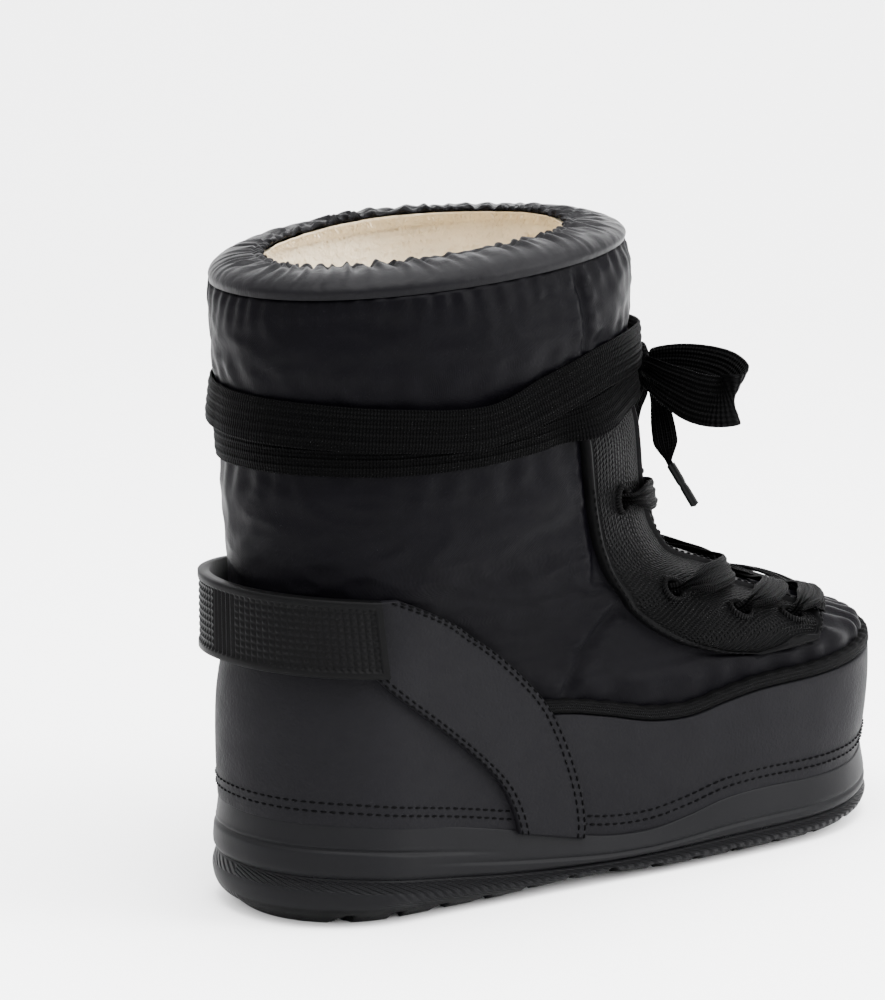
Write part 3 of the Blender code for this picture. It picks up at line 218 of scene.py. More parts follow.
# %% Read the table as a surface
def read(keys, values, at):
    """Smooth curve through the rows of a table, for a whole array of places at once."""
    keys, values = np.asarray(keys, float), np.asarray(values, float)
    last = len(keys) - 1
    at = np.clip(at, keys[0], keys[-1])
    low = np.clip(np.searchsorted(keys, at, side="right") - 1, 0, last - 1)
    before, after = np.maximum(np.arange(last + 1) - 1, 0), np.minimum(np.arange(last + 1) + 1, last)
    slope = (values[after] - values[before]) / (keys[after] - keys[before])
    span = keys[low + 1] - keys[low]
    u = (at - keys[low]) / span
    ease = 3 * u ** 2 - 2 * u ** 3
    bend = (u ** 3 - 2 * u ** 2 + u) * slope[low] + (u ** 3 - u ** 2) * slope[low + 1]
    return (1 - ease) * values[low] + ease * values[low + 1] + bend * span


def table(rows, column, at):
    """One column of a table of rows, read at a value of its first column."""
    return read([row[0] for row in rows], [row[column] for row in rows], at)


def step_up(value, low, high):
    """Rise from 0 to 1 between two values."""
    share = np.clip((np.asarray(value, float) - low) / (high - low), 0.0, 1.0)
    return share * share * (3.0 - 2.0 * share)


def end_round(station, share):
    """Rise from 0 to 1 over a share of a row's length, as the rounded end of an outline does."""
    rounded = 1.0 - (1.0 - np.clip(station / share, 0.0, 1.0)) ** ROUND_PROFILE
    return rounded ** (1.0 / ROUND_PROFILE)


def wall(turn, level):
    """Points of the boot's wall. The turn is 0 at the heel and pi at the toe; past pi is the outer side."""
    turn, level = np.broadcast_arrays(np.asarray(turn, float), np.asarray(level, float))
    row = {name: read(LEVELS, values, level) for name, values in ROW.items()}
    shaft, foot = row["shaft"], row["foot"]
    length = LAST_LENGTH + (SHAFT_DEPTH - LAST_LENGTH) * shaft
    half = row["half"] * 0.5 * (BALL_WIDTH + (SHAFT_WIDTH - BALL_WIDTH) * shaft)
    station = 0.5 * (1.0 - np.cos(turn))
    sine = np.sin(turn)
    outer, inner = [table(FOOT_ROWS, FOOT_COLUMNS.index(side), station) for side in ("outer", "inner")]
    curve = 1.0 + foot * (np.where(sine < 0.0, outer, inner) - 1.0)
    width = half * curve * end_round(station, row["heel_round"]) * end_round(1.0 - station, row["toe_round"])
    start = row["back"] * length - HEEL_SET
    end = row["front"] * length - HEEL_SET
    shift = foot * TOE_SHIFT * np.maximum(0.0, (station - 0.4) / 0.6) ** 2
    sag = row["sag"] * table(SAG_ROWS, 1, station)
    rise = row["back_rise"] + (row["front_rise"] - row["back_rise"]) * station - sag
    along, across = start + (end - start) * station, np.sign(sine) * width + shift
    return np.stack([along, across, rise * UPPER_HEIGHT], -1)


def unit(vectors):
    """The vectors with a length of 1."""
    return vectors / np.maximum(np.linalg.norm(vectors, axis=-1, keepdims=True), 1e-12)


def outward(turn, level):
    """The direction away from the wall."""
    around = wall(turn + 0.02, level) - wall(turn - 0.02, level)
    low, high = np.maximum(level - 0.05, 0.0), np.minimum(level + 0.05, LEVELS[-1])
    return unit(np.cross(wall(turn, high) - wall(turn, low), around))


def off_wall(turn, level, out):
    """Points that stand off the wall by a distance."""
    turn, level = np.broadcast_arrays(np.asarray(turn, float), np.asarray(level, float))
    return wall(turn, level) + outward(turn, level) * np.asarray(out)[..., None]


def level_at(turn, height, top=9.0):
    """The level at which the wall reaches a height."""
    turn, height = np.broadcast_arrays(np.asarray(turn, float), np.asarray(height, float))
    low, high = np.zeros(turn.shape), np.full(turn.shape, top)
    for _ in range(18):
        middle = 0.5 * (low + high)
        under = wall(turn, middle)[..., 2] < height
        low, high = np.where(under, middle, low), np.where(under, high, middle)
    return 0.5 * (low + high)


def beside_wall(turn, height, out):
    """Points at a height, at a distance outside the wall."""
    level = level_at(turn, height)
    flat = outward(turn, level)[..., :2]
    share = np.linalg.norm(flat, axis=-1, keepdims=True)
    place = wall(turn, level)
    place[..., :2] += flat * (np.asarray(out)[..., None] / share ** 2)
    place[..., 2] = height
    return place


def edge(name, x):
    """Height of a named edge of the sole or rand at a place along the boot."""
    size = {"edge": SOLE_EDGE_HEIGHT, "parting": PARTING_HEIGHT, "rand": RAND_HEIGHT,
            "lift": WAIST_LIFT, "spring": TOE_SPRING}[name]
    station = (np.asarray(x) + HEEL_SET) / LAST_LENGTH
    column = EDGE_COLUMNS.index(name)
    if name in ("lift", "spring"):
        shares_of_size = [row[column] for row in EDGE_ROWS]
        return size * np.interp(station, [row[0] for row in EDGE_ROWS], shares_of_size)
    return size * table(EDGE_ROWS, column, station)


def eyestay_edge(name, level):
    """Angle from the front of the eyestay's throat edge or outer edge at a level."""
    return table(EYESTAY_RISING, EYESTAY_COLUMNS.index(name), level)


print("collar is", round(float(wall(0.0, LEVELS[-1])[2]) * 1000), "mm high at the heel")

# %% [markdown]
# ## Meshes and finishes from code
#
# Cloth and rubber surfaces are grids of points, so one helper turns a grid into a smooth mesh.
# It also stores real lengths along and across the piece as its texture coordinates. Weave,
# ribs and grain then keep their true size in millimetres, whatever the piece's own shape.
# Finishes are built from nodes: a colour that varies a little, a roughness, and bumps from
# simple waves and noise. Waves suit anything that was woven or moulded, and noise suits grain.

# %% Mesh and material helpers
random.seed(4)
MM = 0.001


def lengths(points):
    """Running length along the first axis of a grid."""
    gaps = np.linalg.norm(np.diff(points, axis=0), axis=-1)
    return np.concatenate([np.zeros((1,) + gaps.shape[1:]), np.cumsum(gaps, axis=0)])


def mesh_piece(name, points, faces, finish):
    """A smooth mesh that rides on the boot's one body."""
    mesh = bpy.data.meshes.new(name)
    mesh.from_pydata(points, [], faces)
    mesh.materials.append(finish)
    mesh.shade_smooth()
    piece = bpy.data.objects.new(name, mesh)
    bpy.context.scene.collection.objects.link(piece)
    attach(piece, "root")
    return piece


def grid_piece(name, points, finish, closed=False, marks=None, along=None, across=None):
    """A smooth mesh from a grid of points: rows go up the piece and columns go along it."""
    points = np.asarray(points, float)
    rows, columns = points.shape[:2]
    if closed:
        points = np.concatenate([points, points[:, :1]], axis=1)
    wide = points.shape[1]
    along = lengths(points.transpose(1, 0, 2)).T if along is None else along
    across = lengths(points) if across is None else across
    corner = np.arange(rows * columns).reshape(rows, columns)
    if closed:
        corner = np.concatenate([corner, corner[:, :1]], axis=1)
    faces = np.stack([corner[:-1, :-1], corner[:-1, 1:], corner[1:, 1:], corner[1:, :-1]], -1).reshape(-1, 4)
    piece = mesh_piece(name, points[:, :columns].reshape(-1, 3).tolist(), faces.tolist(), finish)
    coordinates = piece.data.uv_layers.new(name="lengths")
    place = np.arange(rows * wide).reshape(rows, wide)
    loops = np.stack([place[:-1, :-1], place[:-1, 1:], place[1:, 1:], place[1:, :-1]], -1).reshape(-1)
    pair = np.stack([along.reshape(-1)[loops], across.reshape(-1)[loops]], -1)
    coordinates.data.foreach_set("uv", pair.astype(np.float32).ravel())
    for mark, values in (marks or {}).items():
        layer = piece.data.attributes.new(mark, "FLOAT", "POINT")
        layer.data.foreach_set("value", np.asarray(values, np.float32).reshape(rows, columns).ravel())
    print(name, "has", len(faces), "faces")
    return piece


class Finish:
    """A node material with a base colour, a roughness and a stack of bumps."""

    def __init__(self, name, colour, roughness, vary=0.25, patch=60.0, gloss=0.10):
        self.material = bpy.data.materials.new(name)
        self.material.use_nodes = True
        self.tree = self.material.node_tree
        self.shader = self.tree.nodes["Principled BSDF"]
        self.shader.inputs["Roughness"].default_value = roughness
        self.shader.inputs["Specular IOR Level"].default_value = gloss
        where = self.tree.nodes.new("ShaderNodeTexCoord")
        self.place = where.outputs["Object"]
        split = self.tree.nodes.new("ShaderNodeSeparateXYZ")
        self.tree.links.new(where.outputs["UV"], split.inputs[0])
        self.along, self.across = split.outputs[0], split.outputs[1]
        patches = self.noise(patch, 3.0)
        dark = tuple(channel * (1.0 - vary) for channel in colour) + (1.0,)
        light = tuple(min(1.0, channel * (1.0 + vary)) for channel in colour) + (1.0,)
        self.colour = self.blend(patches, dark, light)
        self.tree.links.new(self.colour, self.shader.inputs["Base Color"])

    def noise(self, scale, detail=4.0, roughness=0.55):
        """Soft random patches over the piece."""
        node = self.tree.nodes.new("ShaderNodeTexNoise")
        node.inputs["Scale"].default_value = scale
        node.inputs["Detail"].default_value = detail
        node.inputs["Roughness"].default_value = roughness
        self.tree.links.new(self.place, node.inputs["Vector"])
        return node.outputs[0]

    def cells(self, scale):
        """Distance from the middle of random cells, as in leather grain."""
        node = self.tree.nodes.new("ShaderNodeTexVoronoi")
        node.inputs["Scale"].default_value = scale
        self.tree.links.new(self.place, node.inputs["Vector"])
        return node.outputs["Distance"]

    def math(self, operation, first, second=None):
        """One sum on patterns or numbers."""
        node = self.tree.nodes.new("ShaderNodeMath")
        node.operation = operation
        for socket, value in zip(node.inputs, (first, second)):
            if isinstance(value, (int, float)):
                socket.default_value = value
            elif value is not None:
                self.tree.links.new(value, socket)
        return node.outputs[0]

    def wave(self, pitch, angle=0.0, shift=0.0):
        """Even ridges, pitch metres apart, across the piece or turned by an angle in degrees."""
        turn = math.radians(angle)
        run = self.math("MULTIPLY", self.along, 2.0 * math.pi * math.cos(turn) / pitch)
        rise = self.math("MULTIPLY", self.across, 2.0 * math.pi * math.sin(turn) / pitch)
        total = self.math("ADD", self.math("ADD", run, rise), shift)
        return self.math("SINE", total)

    def mark(self, name):
        """A share that the piece stores at its points."""
        node = self.tree.nodes.new("ShaderNodeAttribute")
        node.attribute_name = name
        return node.outputs["Fac"]

    def blend(self, share, dark, light):
        """A colour between two others."""
        node = self.tree.nodes.new("ShaderNodeMix")
        node.data_type = "RGBA"
        self.tree.links.new(share, node.inputs["Factor"])
        for socket, value in ((node.inputs[6], dark), (node.inputs[7], light)):
            if isinstance(value, tuple):
                socket.default_value = value
            else:
                self.tree.links.new(value, socket)
        return node.outputs[2]

    def shade(self, share, colour):
        """Lay a second colour over the first where share is high."""
        self.colour = self.blend(share, self.colour, colour + (1.0,))
        self.tree.links.new(self.colour, self.shader.inputs["Base Color"])

    def dull(self, share, low, high):
        """Let the roughness follow a pattern from low to high."""
        node = self.tree.nodes.new("ShaderNodeMapRange")
        node.inputs["To Min"].default_value = low
        node.inputs["To Max"].default_value = high
        self.tree.links.new(share, node.inputs["Value"])
        self.tree.links.new(node.outputs[0], self.shader.inputs["Roughness"])

    def bump(self, height, depth, strength=1.0):
        """Add a bump of a real depth in metres to those that the finish has already."""
        node = self.tree.nodes.new("ShaderNodeBump")
        node.inputs["Distance"].default_value = depth
        node.inputs["Strength"].default_value = strength
        self.tree.links.new(height, node.inputs["Height"])
        if self.shader.inputs["Normal"].is_linked:
            self.tree.links.new(self.shader.inputs["Normal"].links[0].from_socket, node.inputs["Normal"])
        self.tree.links.new(node.outputs[0], self.shader.inputs["Normal"])


def field(points, scale, seed=0.0, stretch=(1.0, 1.0, 1.0)):
    """Smooth noise from about -1 to 1 at each point; scale is the size of its lumps in metres."""
    flat = points.reshape(-1, 3) * np.array(stretch) / scale + seed
    return np.array([noise.noise(Vector(place)) for place in flat]).reshape(points.shape[:-1]) * 1.6


def distance_to(points, line):
    """Distance of each point from a line through the given places."""
    best = np.full(points.shape[:-1], 1.0)
    for start, end in zip(line, line[1:]):
        start, reach = np.array(start), np.array(end) - np.array(start)
        share = np.clip(((points - start) @ reach) / (reach @ reach), 0.0, 1.0)
        best = np.minimum(best, np.linalg.norm(points - start - share[..., None] * reach, axis=-1))
    return best


def both_sides(line):
    """A line in millimetres on the outer side, and its mirror on the inner side."""
    return [[(x * MM, sign * y * MM, z * MM) for x, y, z in line] for sign in (1, -1)]


print("noise at (0.3, 0.2, 0.1) is", round(noise.noise(Vector((0.3, 0.2, 0.1))), 3))

# %% [markdown]
# ## The padded nylon upper
#
# The upper is quilted from a satin-faced nylon over foam, and it is the largest surface here.
# Its look comes from where it is held: it gathers into small fans above the toe binding, it puckers
# under the collar seam, and it is cinched by the wrapped lace so that it swells above and below.
# Cloth simulation would have to be pinned along all those seams, so the folds are laid
# as soft troughs and ridges instead. Fine creases come from stretched noise on top of them.

# %% Shape the nylon
COLLAR = LEVELS[-1]
NYLON_COLUMNS, NYLON_ROWS = 400, 200
VERTICAL_SEAM = both_sides([(70, -57, 232), (73, -55, 205), (76, -52, 183), (80, -48, 148), (85, -47, 117)])
SLANT_SEAM = both_sides([(98, -46, 107), (88, -45, 98), (79, -45, 88), (71, -45, 74)])
BACK_SEAM = [(-0.042, 0.0, 0.236), (-0.040, 0.0, 0.224), (-0.039, 0.0, 0.204), (-0.036, 0.0, 0.160),
             (-0.034, 0.0, 0.132), (-0.034, 0.0, 0.110)]
# Half the height over which the wraps press the nylon flat, and the bulges beside them:
# height over the wraps, reach, and amount in millimetres
WRAP_HOLD = 0.0150
WRAP_BULGES = ((0.030, 0.014, 1.5), (-0.034, 0.016, 1.2))

# Middles of the two lace wraps: turn in degrees over the outer side, and shares of UPPER_HEIGHT
WRAP_COLUMNS = ("turn", "low", "high")
WRAP_ROWS = (
    (0.0, 0.7520, 0.8030),
    (30.0, 0.7520, 0.7980),
    (55.0, 0.7500, 0.7900),
    (80.0, 0.7540, 0.7860),
    (100.0, 0.7660, 0.8190),
    (120.0, 0.7840, 0.8470),
    (145.0, 0.8050, 0.8540),
    (180.0, 0.8100, 0.8480),
    (215.0, 0.7980, 0.8480),
    (250.0, 0.7780, 0.8380),
    (290.0, 0.7580, 0.8180),
    (325.0, 0.7520, 0.8110),
    (360.0, 0.7520, 0.8030),
)


def wrap_middle(turn, name):
    """Height of the middle of a lace wrap at a turn; the table runs over the outer side first."""
    degrees = np.degrees(-np.asarray(turn)) % 360.0
    return table(WRAP_ROWS, WRAP_COLUMNS.index(name), degrees) * UPPER_HEIGHT


def rand_top(turn):
    """Height of the rand's top edge at a turn."""
    return edge("rand", wall(turn, 2.0)[..., 0])


def nylon_swell(turn, level, base):
    """How far the nylon stands out from the wall, in metres, with its folds and gathers."""
    height = base[..., 2]
    above_band = height - rand_top(turn)
    front = -np.cos(turn)
    from_wrap = height - 0.5 * (wrap_middle(turn, "low") + wrap_middle(turn, "high"))
    held = np.exp(-(from_wrap / WRAP_HOLD) ** 4)
    below_collar = height.max(0)[None] - height
    soft = 0.9 * MM * field(base, 0.036, 3.1, (1.0, 1.0, 1.6))
    creases = 0.55 * MM * (1.0 - 2.0 * np.abs(field(base, 0.017, 9.4, (1.0, 1.0, 2.2))))
    shaft = step_up(level, 6.5, 9.5)
    swell = (soft + creases * 0.7) * (0.45 + 0.55 * shaft)
    for above, reach, amount in WRAP_BULGES:
        swell += amount * MM * shaft * np.exp(-((from_wrap - above) / reach) ** 2)
    tucks = np.sin(turn * 34.0 + 2.4 * field(base, 0.030, 5.0))
    tucks *= np.exp(-((np.abs(from_wrap) - 0.017) / 0.007) ** 2)
    swell += 0.45 * MM * tucks * shaft
    pleats = np.sin(turn * 62.0 + 2.0 * field(base, 0.020, 1.7))
    swell += 0.40 * MM * pleats * np.exp(-(below_collar / 0.010) ** 2)
    fan = np.sin(turn * 46.0 + 1.6 * field(base, 0.022, 7.7))
    reach = 0.010 + 0.010 * step_up(front, 0.2, 0.9)
    swell += (0.55 + 0.55 * step_up(front, 0.3, 1.0)) * MM * fan * np.exp(-(above_band / reach) ** 2)
    swell += 1.3 * MM * np.exp(-((above_band - 0.009) / 0.006) ** 2) * step_up(front, -0.7, 0.3)
    swell -= 0.9 * MM * np.exp(-(below_collar / 0.0030) ** 2)
    for lines, depth in ((VERTICAL_SEAM, 1.5), (SLANT_SEAM, 1.3)):
        for line in lines:
            gap = distance_to(base, line)
            swell -= depth * MM * np.exp(-(gap / 0.0017) ** 2)
            puckers = 1.0 + 0.7 * np.sin(height * 900.0)
            swell += 0.55 * MM * np.exp(-((gap - 0.0045) / 0.0030) ** 2) * puckers
    gap = distance_to(base, BACK_SEAM)
    swell -= 0.9 * MM * np.exp(-(gap / 0.0012) ** 2)
    swell = swell * (1.0 - held) - 0.2 * MM * held
    covered = step_up(above_band, -0.004, 0.003)
    return swell * covered - 0.3 * MM * (1.0 - covered)


turns = np.linspace(0.0, 2.0 * math.pi, NYLON_COLUMNS, endpoint=False)[None, :]
levels = np.linspace(0.0, COLLAR, NYLON_ROWS)[:, None]
turns, levels = np.broadcast_arrays(turns, levels)
base = wall(turns, levels)
degrees_from_front = np.abs(180.0 - np.degrees(turns))
inside = np.minimum(degrees_from_front - eyestay_edge("throat", levels),
                    eyestay_edge("outer", levels) - degrees_from_front)
inside = np.minimum(inside, (levels - EYESTAY_RISING[0][0]) * 14.0)
inside = np.where(levels > 12.2, -9.0, inside)
under_eyestay = step_up(inside, -3.0, 0.0)
panel_front = table(PANEL_ROWS, 2, base[..., 2] / PANEL_HEIGHT) * LAST_LENGTH - HEEL_SET
behind = np.minimum(panel_front - base[..., 0], COUNTER_HEIGHT - base[..., 2])
under_panel = step_up(behind, -0.003, 0.0)
free = (1.0 - under_eyestay) * (1.0 - under_panel)
swell = nylon_swell(turns, levels, base) * free - 0.2 * MM * (1.0 - free)
nylon_points = base + outward(turns, levels) * swell[..., None]

nylon = Finish("satin_nylon", (0.00085, 0.00075, 0.00120), 0.42, 0.20, 45.0, gloss=0.023)
nylon.dull(nylon.noise(70.0, 3.0), 0.34, 0.50)
nylon.bump(nylon.noise(160.0, 4.0), 0.0006, 0.55)
nylon.bump(nylon.math("MULTIPLY", nylon.wave(0.0011), nylon.wave(0.0011, 90.0)), 0.00006, 0.5)
turned_in = nylon_points[-1] - unit(outward(turns[-1], COLLAR) * np.array([1.0, 1.0, 0.0])) * 0.0030
nylon_points = np.concatenate([nylon_points, turned_in[None]])
upper_nylon = grid_piece("upper_nylon", nylon_points, nylon.material, closed=True)
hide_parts("upper")
print("nylon swells up to", round(float(swell.max()) * 1000, 1), "mm")

# %% [markdown]
# ## The pile lining and the insole
#
# A winter boot is lined with a cream pile, and only a little of it shows inside the collar. The
# lining is a lumpy surface a wall's thickness in from the nylon. At the collar it rolls inward
# under the cuff, up to the elastic edge. Short fibres stand on its upper part, where light
# catches them. Hair particles would do the same, but short blades in one mesh are quick, always
# the same, and easy to keep clear of the cuff.

# %% Make the lining
CUFF_SIDE, CUFF_HEEL, CUFF_TOE = 0.0170, 0.0195, 0.0240
CUFF_RISE, CUFF_DIP = 0.0088, 0.0028
FIBRES, FIBRE_ROWS, FIRST_ROLL_ROW = 11000, (60, 95), 86
FIBRE_LENGTH, FIBRE_WIDTH = 0.0024, 0.00032
LINING_COLUMNS, LINING_ROWS = 200, 90
# Roll of the lining under the cuff, as shares of the cuff's depth and rise
ROLL_PROFILE = ((0.24, -0.05), (0.46, 0.12), (0.58, 0.42), (0.78, 0.64), (0.93, 0.72), (1.01, 0.80),
                (1.035, 0.90))


def cuff_depth(turn):
    """How far the cuff reaches in from the collar seam at a turn."""
    cosine = np.cos(turn)
    return CUFF_SIDE + (np.where(cosine > 0.0, CUFF_HEEL, CUFF_TOE) - CUFF_SIDE) * cosine ** 2


def cuff_lift(turn):
    """How far the cuff stands over the collar seam at a turn."""
    return CUFF_RISE - CUFF_DIP * step_up(-np.cos(turn), 0.0, 1.0)


lining_turns, lining_levels = np.meshgrid(np.linspace(0.0, 2.0 * math.pi, LINING_COLUMNS, endpoint=False),
                                          np.linspace(0.0, COLLAR - 0.1, LINING_ROWS))
lining_base = wall(lining_turns, lining_levels)
lining_normal = outward(lining_turns, lining_levels)
lining_normal[..., 2] *= np.clip(np.minimum(lining_levels, COLLAR - lining_levels) / 0.8, 0.0, 1.0)
lining_normal = unit(lining_normal)
lumps = 0.5 * MM * field(lining_base, 0.0045, 2.2)
lining_points = lining_base - lining_normal * (UPPER_WALL - 0.0008 + lumps)[..., None]
roll_turns = lining_turns[0]
roll_inward = unit(outward(roll_turns, COLLAR) * np.array([1.0, 1.0, 0.0]))
for inward, rise in ROLL_PROFILE:
    ring = wall(roll_turns, COLLAR) - roll_inward * (inward * cuff_depth(roll_turns) + 0.0004)[:, None]
    ring[:, 2] += rise * cuff_lift(roll_turns) - 0.0003
    ring -= roll_inward * (0.5 * MM * field(ring, 0.0045, 2.2))[:, None]
    lining_points = np.concatenate([lining_points, ring[None]])
pile = Finish("cream_pile", (0.90, 0.79, 0.60), 0.95, 0.10, 120.0)
pile.bump(pile.noise(900.0, 5.0), 0.0010, 0.9)
pile.bump(pile.cells(420.0), 0.0008, 0.7)
grid_piece("pile_lining", lining_points, pile.material, closed=True)


def blades(name, roots, directions, length, width, finish):
    """Short bent fibres from their roots, as one mesh."""
    points, faces = [], []
    for root, direction in zip(roots, directions):
        bend = Vector((random.uniform(-1, 1), random.uniform(-1, 1), random.uniform(-1, 1)))
        tip = root + (direction + bend * 0.55).normalized() * length * random.uniform(0.6, 1.2)
        middle = (root + tip) * 0.5 + bend * length * 0.12
        side = (tip - root).cross(bend).normalized() * width * 0.5
        start = len(points)
        points += [root - side, root + side, middle + side * 0.8, middle - side * 0.8, tip]
        faces += [(start, start + 1, start + 2, start + 3), (start + 3, start + 2, start + 4)]
    print(name, "has", len(roots), "fibres")
    return mesh_piece(name, points, faces, finish)


roots, directions = [], []
for _ in range(FIBRES):
    row, column = random.randrange(*FIBRE_ROWS), random.randrange(LINING_COLUMNS)
    roots.append(Vector(lining_points[row, column]))
    inwards = -Vector(lining_normal[min(row, LINING_ROWS - 1), column])
    directions.append(inwards + Vector((0.0, 0.0, 0.3 if row < FIRST_ROLL_ROW else -0.7)))
blades("pile_fibres", roots, directions, FIBRE_LENGTH, FIBRE_WIDTH, pile.material)


def drawn_in(ring, share):
    """A ring whose width is drawn in towards its own middle line."""
    across = ring[:, 1]
    mirror = across[-np.arange(len(ring)) % len(ring)]
    narrow = ring.copy()
    narrow[:, 1] = 0.5 * (across + mirror) + 0.5 * (across - mirror) * share
    return narrow


foot_turns = np.linspace(0.0, 2.0 * math.pi, 120, endpoint=False)
foot_edge = wall(foot_turns, 0.0)
foot_flat = unit(outward(foot_turns, 0.0) * np.array([1.0, 1.0, 0.0]))
foot_edge = foot_edge - foot_flat * (UPPER_WALL + 0.0006)
foot_rows = []
for share in np.linspace(1.0, 0.0, 24):
    ring = drawn_in(foot_edge, share)
    ring[:, 2] += 0.0040 - 0.0020 * (share > 0.99)
    foot_rows.append(ring)
foot_points = np.array(foot_rows)
foot_points[..., 2] += 0.3 * MM * field(foot_points, 0.006, 4.4)
insole = grid_piece("pile_insole", foot_points, pile.material, closed=True)
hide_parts("insole")

# %% [markdown]
# ## The gathered cuff
#
# The cuff is a tube of the same satin, drawn in by a hidden elastic. It domes inward from the
# collar seam, with gathers that grow deeper towards the elastic edge. The pleats are three waves
# round the boot whose phases drift with noise, so no two gathers are the same width.

# %% Gather the cuff
# The cuff's outline across, as shares of its depth and rise: over the top and back underneath
CUFF_PROFILE = ((-0.010, 0.00), (-0.020, 0.35), (0.120, 0.72), (0.400, 0.97), (0.760, 1.07), (0.960, 1.10),
                (1.010, 1.02), (0.985, 0.88), (0.700, 0.74), (0.400, 0.36), (0.300, 0.00))
cuff_turns = np.linspace(0.0, 2.0 * math.pi, 900, endpoint=False)
cuff_steps = np.linspace(0.0, len(CUFF_PROFILE) - 1.0, 42)
indexes = np.arange(len(CUFF_PROFILE), dtype=float)
inward = read(indexes, [row[0] for row in CUFF_PROFILE], cuff_steps)[:, None]
rise = read(indexes, [row[1] for row in CUFF_PROFILE], cuff_steps)[:, None]
flat = unit(outward(cuff_turns, COLLAR) * np.array([1.0, 1.0, 0.0]))
cuff_points = wall(cuff_turns, COLLAR)[None] - flat[None] * (inward * cuff_depth(cuff_turns))[..., None]
cuff_points[..., 2] += rise * cuff_lift(cuff_turns) + 0.0003
drift = field(cuff_points, 0.020, 6.0) * 2.6
outer_side = (cuff_steps < 6.5)[:, None]
pleat = (np.sin(cuff_turns[None] * 58.0 + 1.7 * drift) + 0.6 * np.sin(cuff_turns[None] * 34.0 - drift)
         + 0.4 * np.sin(cuff_turns[None] * 101.0 + 2.0 * drift))
pleat *= 0.9 + 0.5 * field(cuff_points, 0.015, 3.0)
grow = 0.14 + 0.86 * step_up(inward, 0.10, 0.85)
tuck = 0.72 * MM * pleat * grow * np.where(outer_side, step_up(cuff_steps, 0.2, 1.6)[:, None], 0.35)
cuff_points[..., 2] += tuck
elastic = np.exp(-((inward - 0.86) / 0.035) ** 2) * outer_side
cuff_points[..., 2] -= 0.7 * MM * elastic
frill = step_up(inward, 0.90, 1.0) * outer_side
cuff_points += flat[None] * (0.7 * MM * frill * np.sin(cuff_turns[None] * 88.0 + 2.5 * drift))[..., None]
satin = Finish("cuff_satin", (0.0014, 0.0013, 0.0018), 0.38, 0.20, 60.0, gloss=0.055)
satin.dull(satin.noise(90.0, 3.0), 0.30, 0.46)
satin.bump(satin.noise(260.0, 4.0), 0.0005, 0.6)
satin.bump(satin.math("MULTIPLY", satin.wave(0.0010), satin.wave(0.0010, 90.0)), 0.00005, 0.5)
cuff = grid_piece("cuff_satin", cuff_points, satin.material, closed=True)
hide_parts("collar_cuff")

# %% [markdown]
# ## Panels that lie on the upper
#
# The rand, the counter and the two crescents are cut from a matte rubberised leather and sewn on
# flat. Each is a grid between two lines on the wall, raised by its thickness and rounded over at
# the edges like a skived seam. That keeps them tight to the boot, which a flat sheet bent by hand
# wouldn't be. The tape above the rand is made the same way, with a braid in its bump.

# %% Make the panels
SEAT = 0.0005
PANEL_THICKNESS = 0.0018
PANEL_TUCK = 0.0015
BINDING_WIDTH, BINDING_THICKNESS = 0.0055, 0.0024
# The crescents lie on the rand and the counter, over their thickness and its clearance
PANEL_SEAT = SEAT + 0.0020 + 0.0006
# Distances of the rows of stitches in from an edge
RAND_STITCHES, COUNTER_STITCHES = (0.0078, 0.0112), (0.0075, 0.0108)
CRESCENT_STITCHES, EYESTAY_STITCHES = (0.0026, 0.0054), 0.0040
stitch_runs = []


def panel_line(height, name):
    """Place along the boot of the crescent's rear or front edge at a height."""
    share = np.asarray(height) / PANEL_HEIGHT
    return table(PANEL_ROWS, PANEL_COLUMNS.index(name), share) * LAST_LENGTH - HEEL_SET


def turn_at(x, level, side):
    """Turn on one side of the boot at which the wall reaches a place along it."""
    heel, toe = [wall(np.full(np.shape(level), turn), level)[..., 0] for turn in (0.0, math.pi)]
    station = np.clip((x - heel) / (toe - heel), 0.0, 1.0)
    return side * np.arccos(1.0 - 2.0 * station)


def shares(count, edge_share):
    """Places from 0 to 1 that are close together at both ends, where an edge is rounded."""
    ends = np.array([0.0, 0.12, 0.35, 0.65, 1.0]) * edge_share
    return np.concatenate([ends, np.linspace(edge_share, 1.0 - edge_share, count)[1:-1], 1.0 - ends[::-1]])


def overlay(turn, height, seat, thickness, radius=0.0009, sides=True):
    """Points and outward directions of a panel with rounded edges, over places on the wall."""
    places = beside_wall(turn, height, np.zeros(turn.shape))
    level = level_at(turn, height)
    normal = outward(turn, level)
    up_it = lengths(places)
    from_edge = np.minimum(up_it, up_it[-1:] - up_it)
    if sides:
        along_it = lengths(places.transpose(1, 0, 2)).T
        from_edge = np.minimum(from_edge, np.minimum(along_it, along_it[:, -1:] - along_it))
    rounded = np.sqrt(1.0 - (1.0 - np.clip(from_edge / radius, 0.0, 1.0)) ** 2)
    points = beside_wall(turn, height, seat - 0.0004 + (thickness + 0.0004) * rounded)
    return points, normal


def run_along(points, normals, inset, from_top, rows=True):
    """A line for stitches at a distance in from a panel's edge."""
    if not rows:
        points, normals = points.transpose(1, 0, 2), normals.transpose(1, 0, 2)
    length = lengths(points)
    goal = length[-1] - inset if from_top else np.full(length.shape[1], inset)
    line, middle = [np.array([[np.interp(goal[c], length[:, c], values[:, c, k]) for k in range(3)]
                              for c in range(points.shape[1])]) for values in (points, normals)]
    return line, unit(middle)


def sole_edge(turn):
    """Height at which the sole ends at a turn."""
    return edge("edge", wall(turn, 0.5)[..., 0])


def band(low_of, high_of, rows, columns, turn_start, turn_end):
    """Turns and heights of a band between two heights, from one turn to another at each row."""
    share = rows[:, None]
    turn = np.broadcast_to(turn_start + (turn_end - turn_start) * columns[None], (len(rows), len(columns)))
    height = low_of(turn) + (high_of(turn) - low_of(turn)) * share
    return turn, height


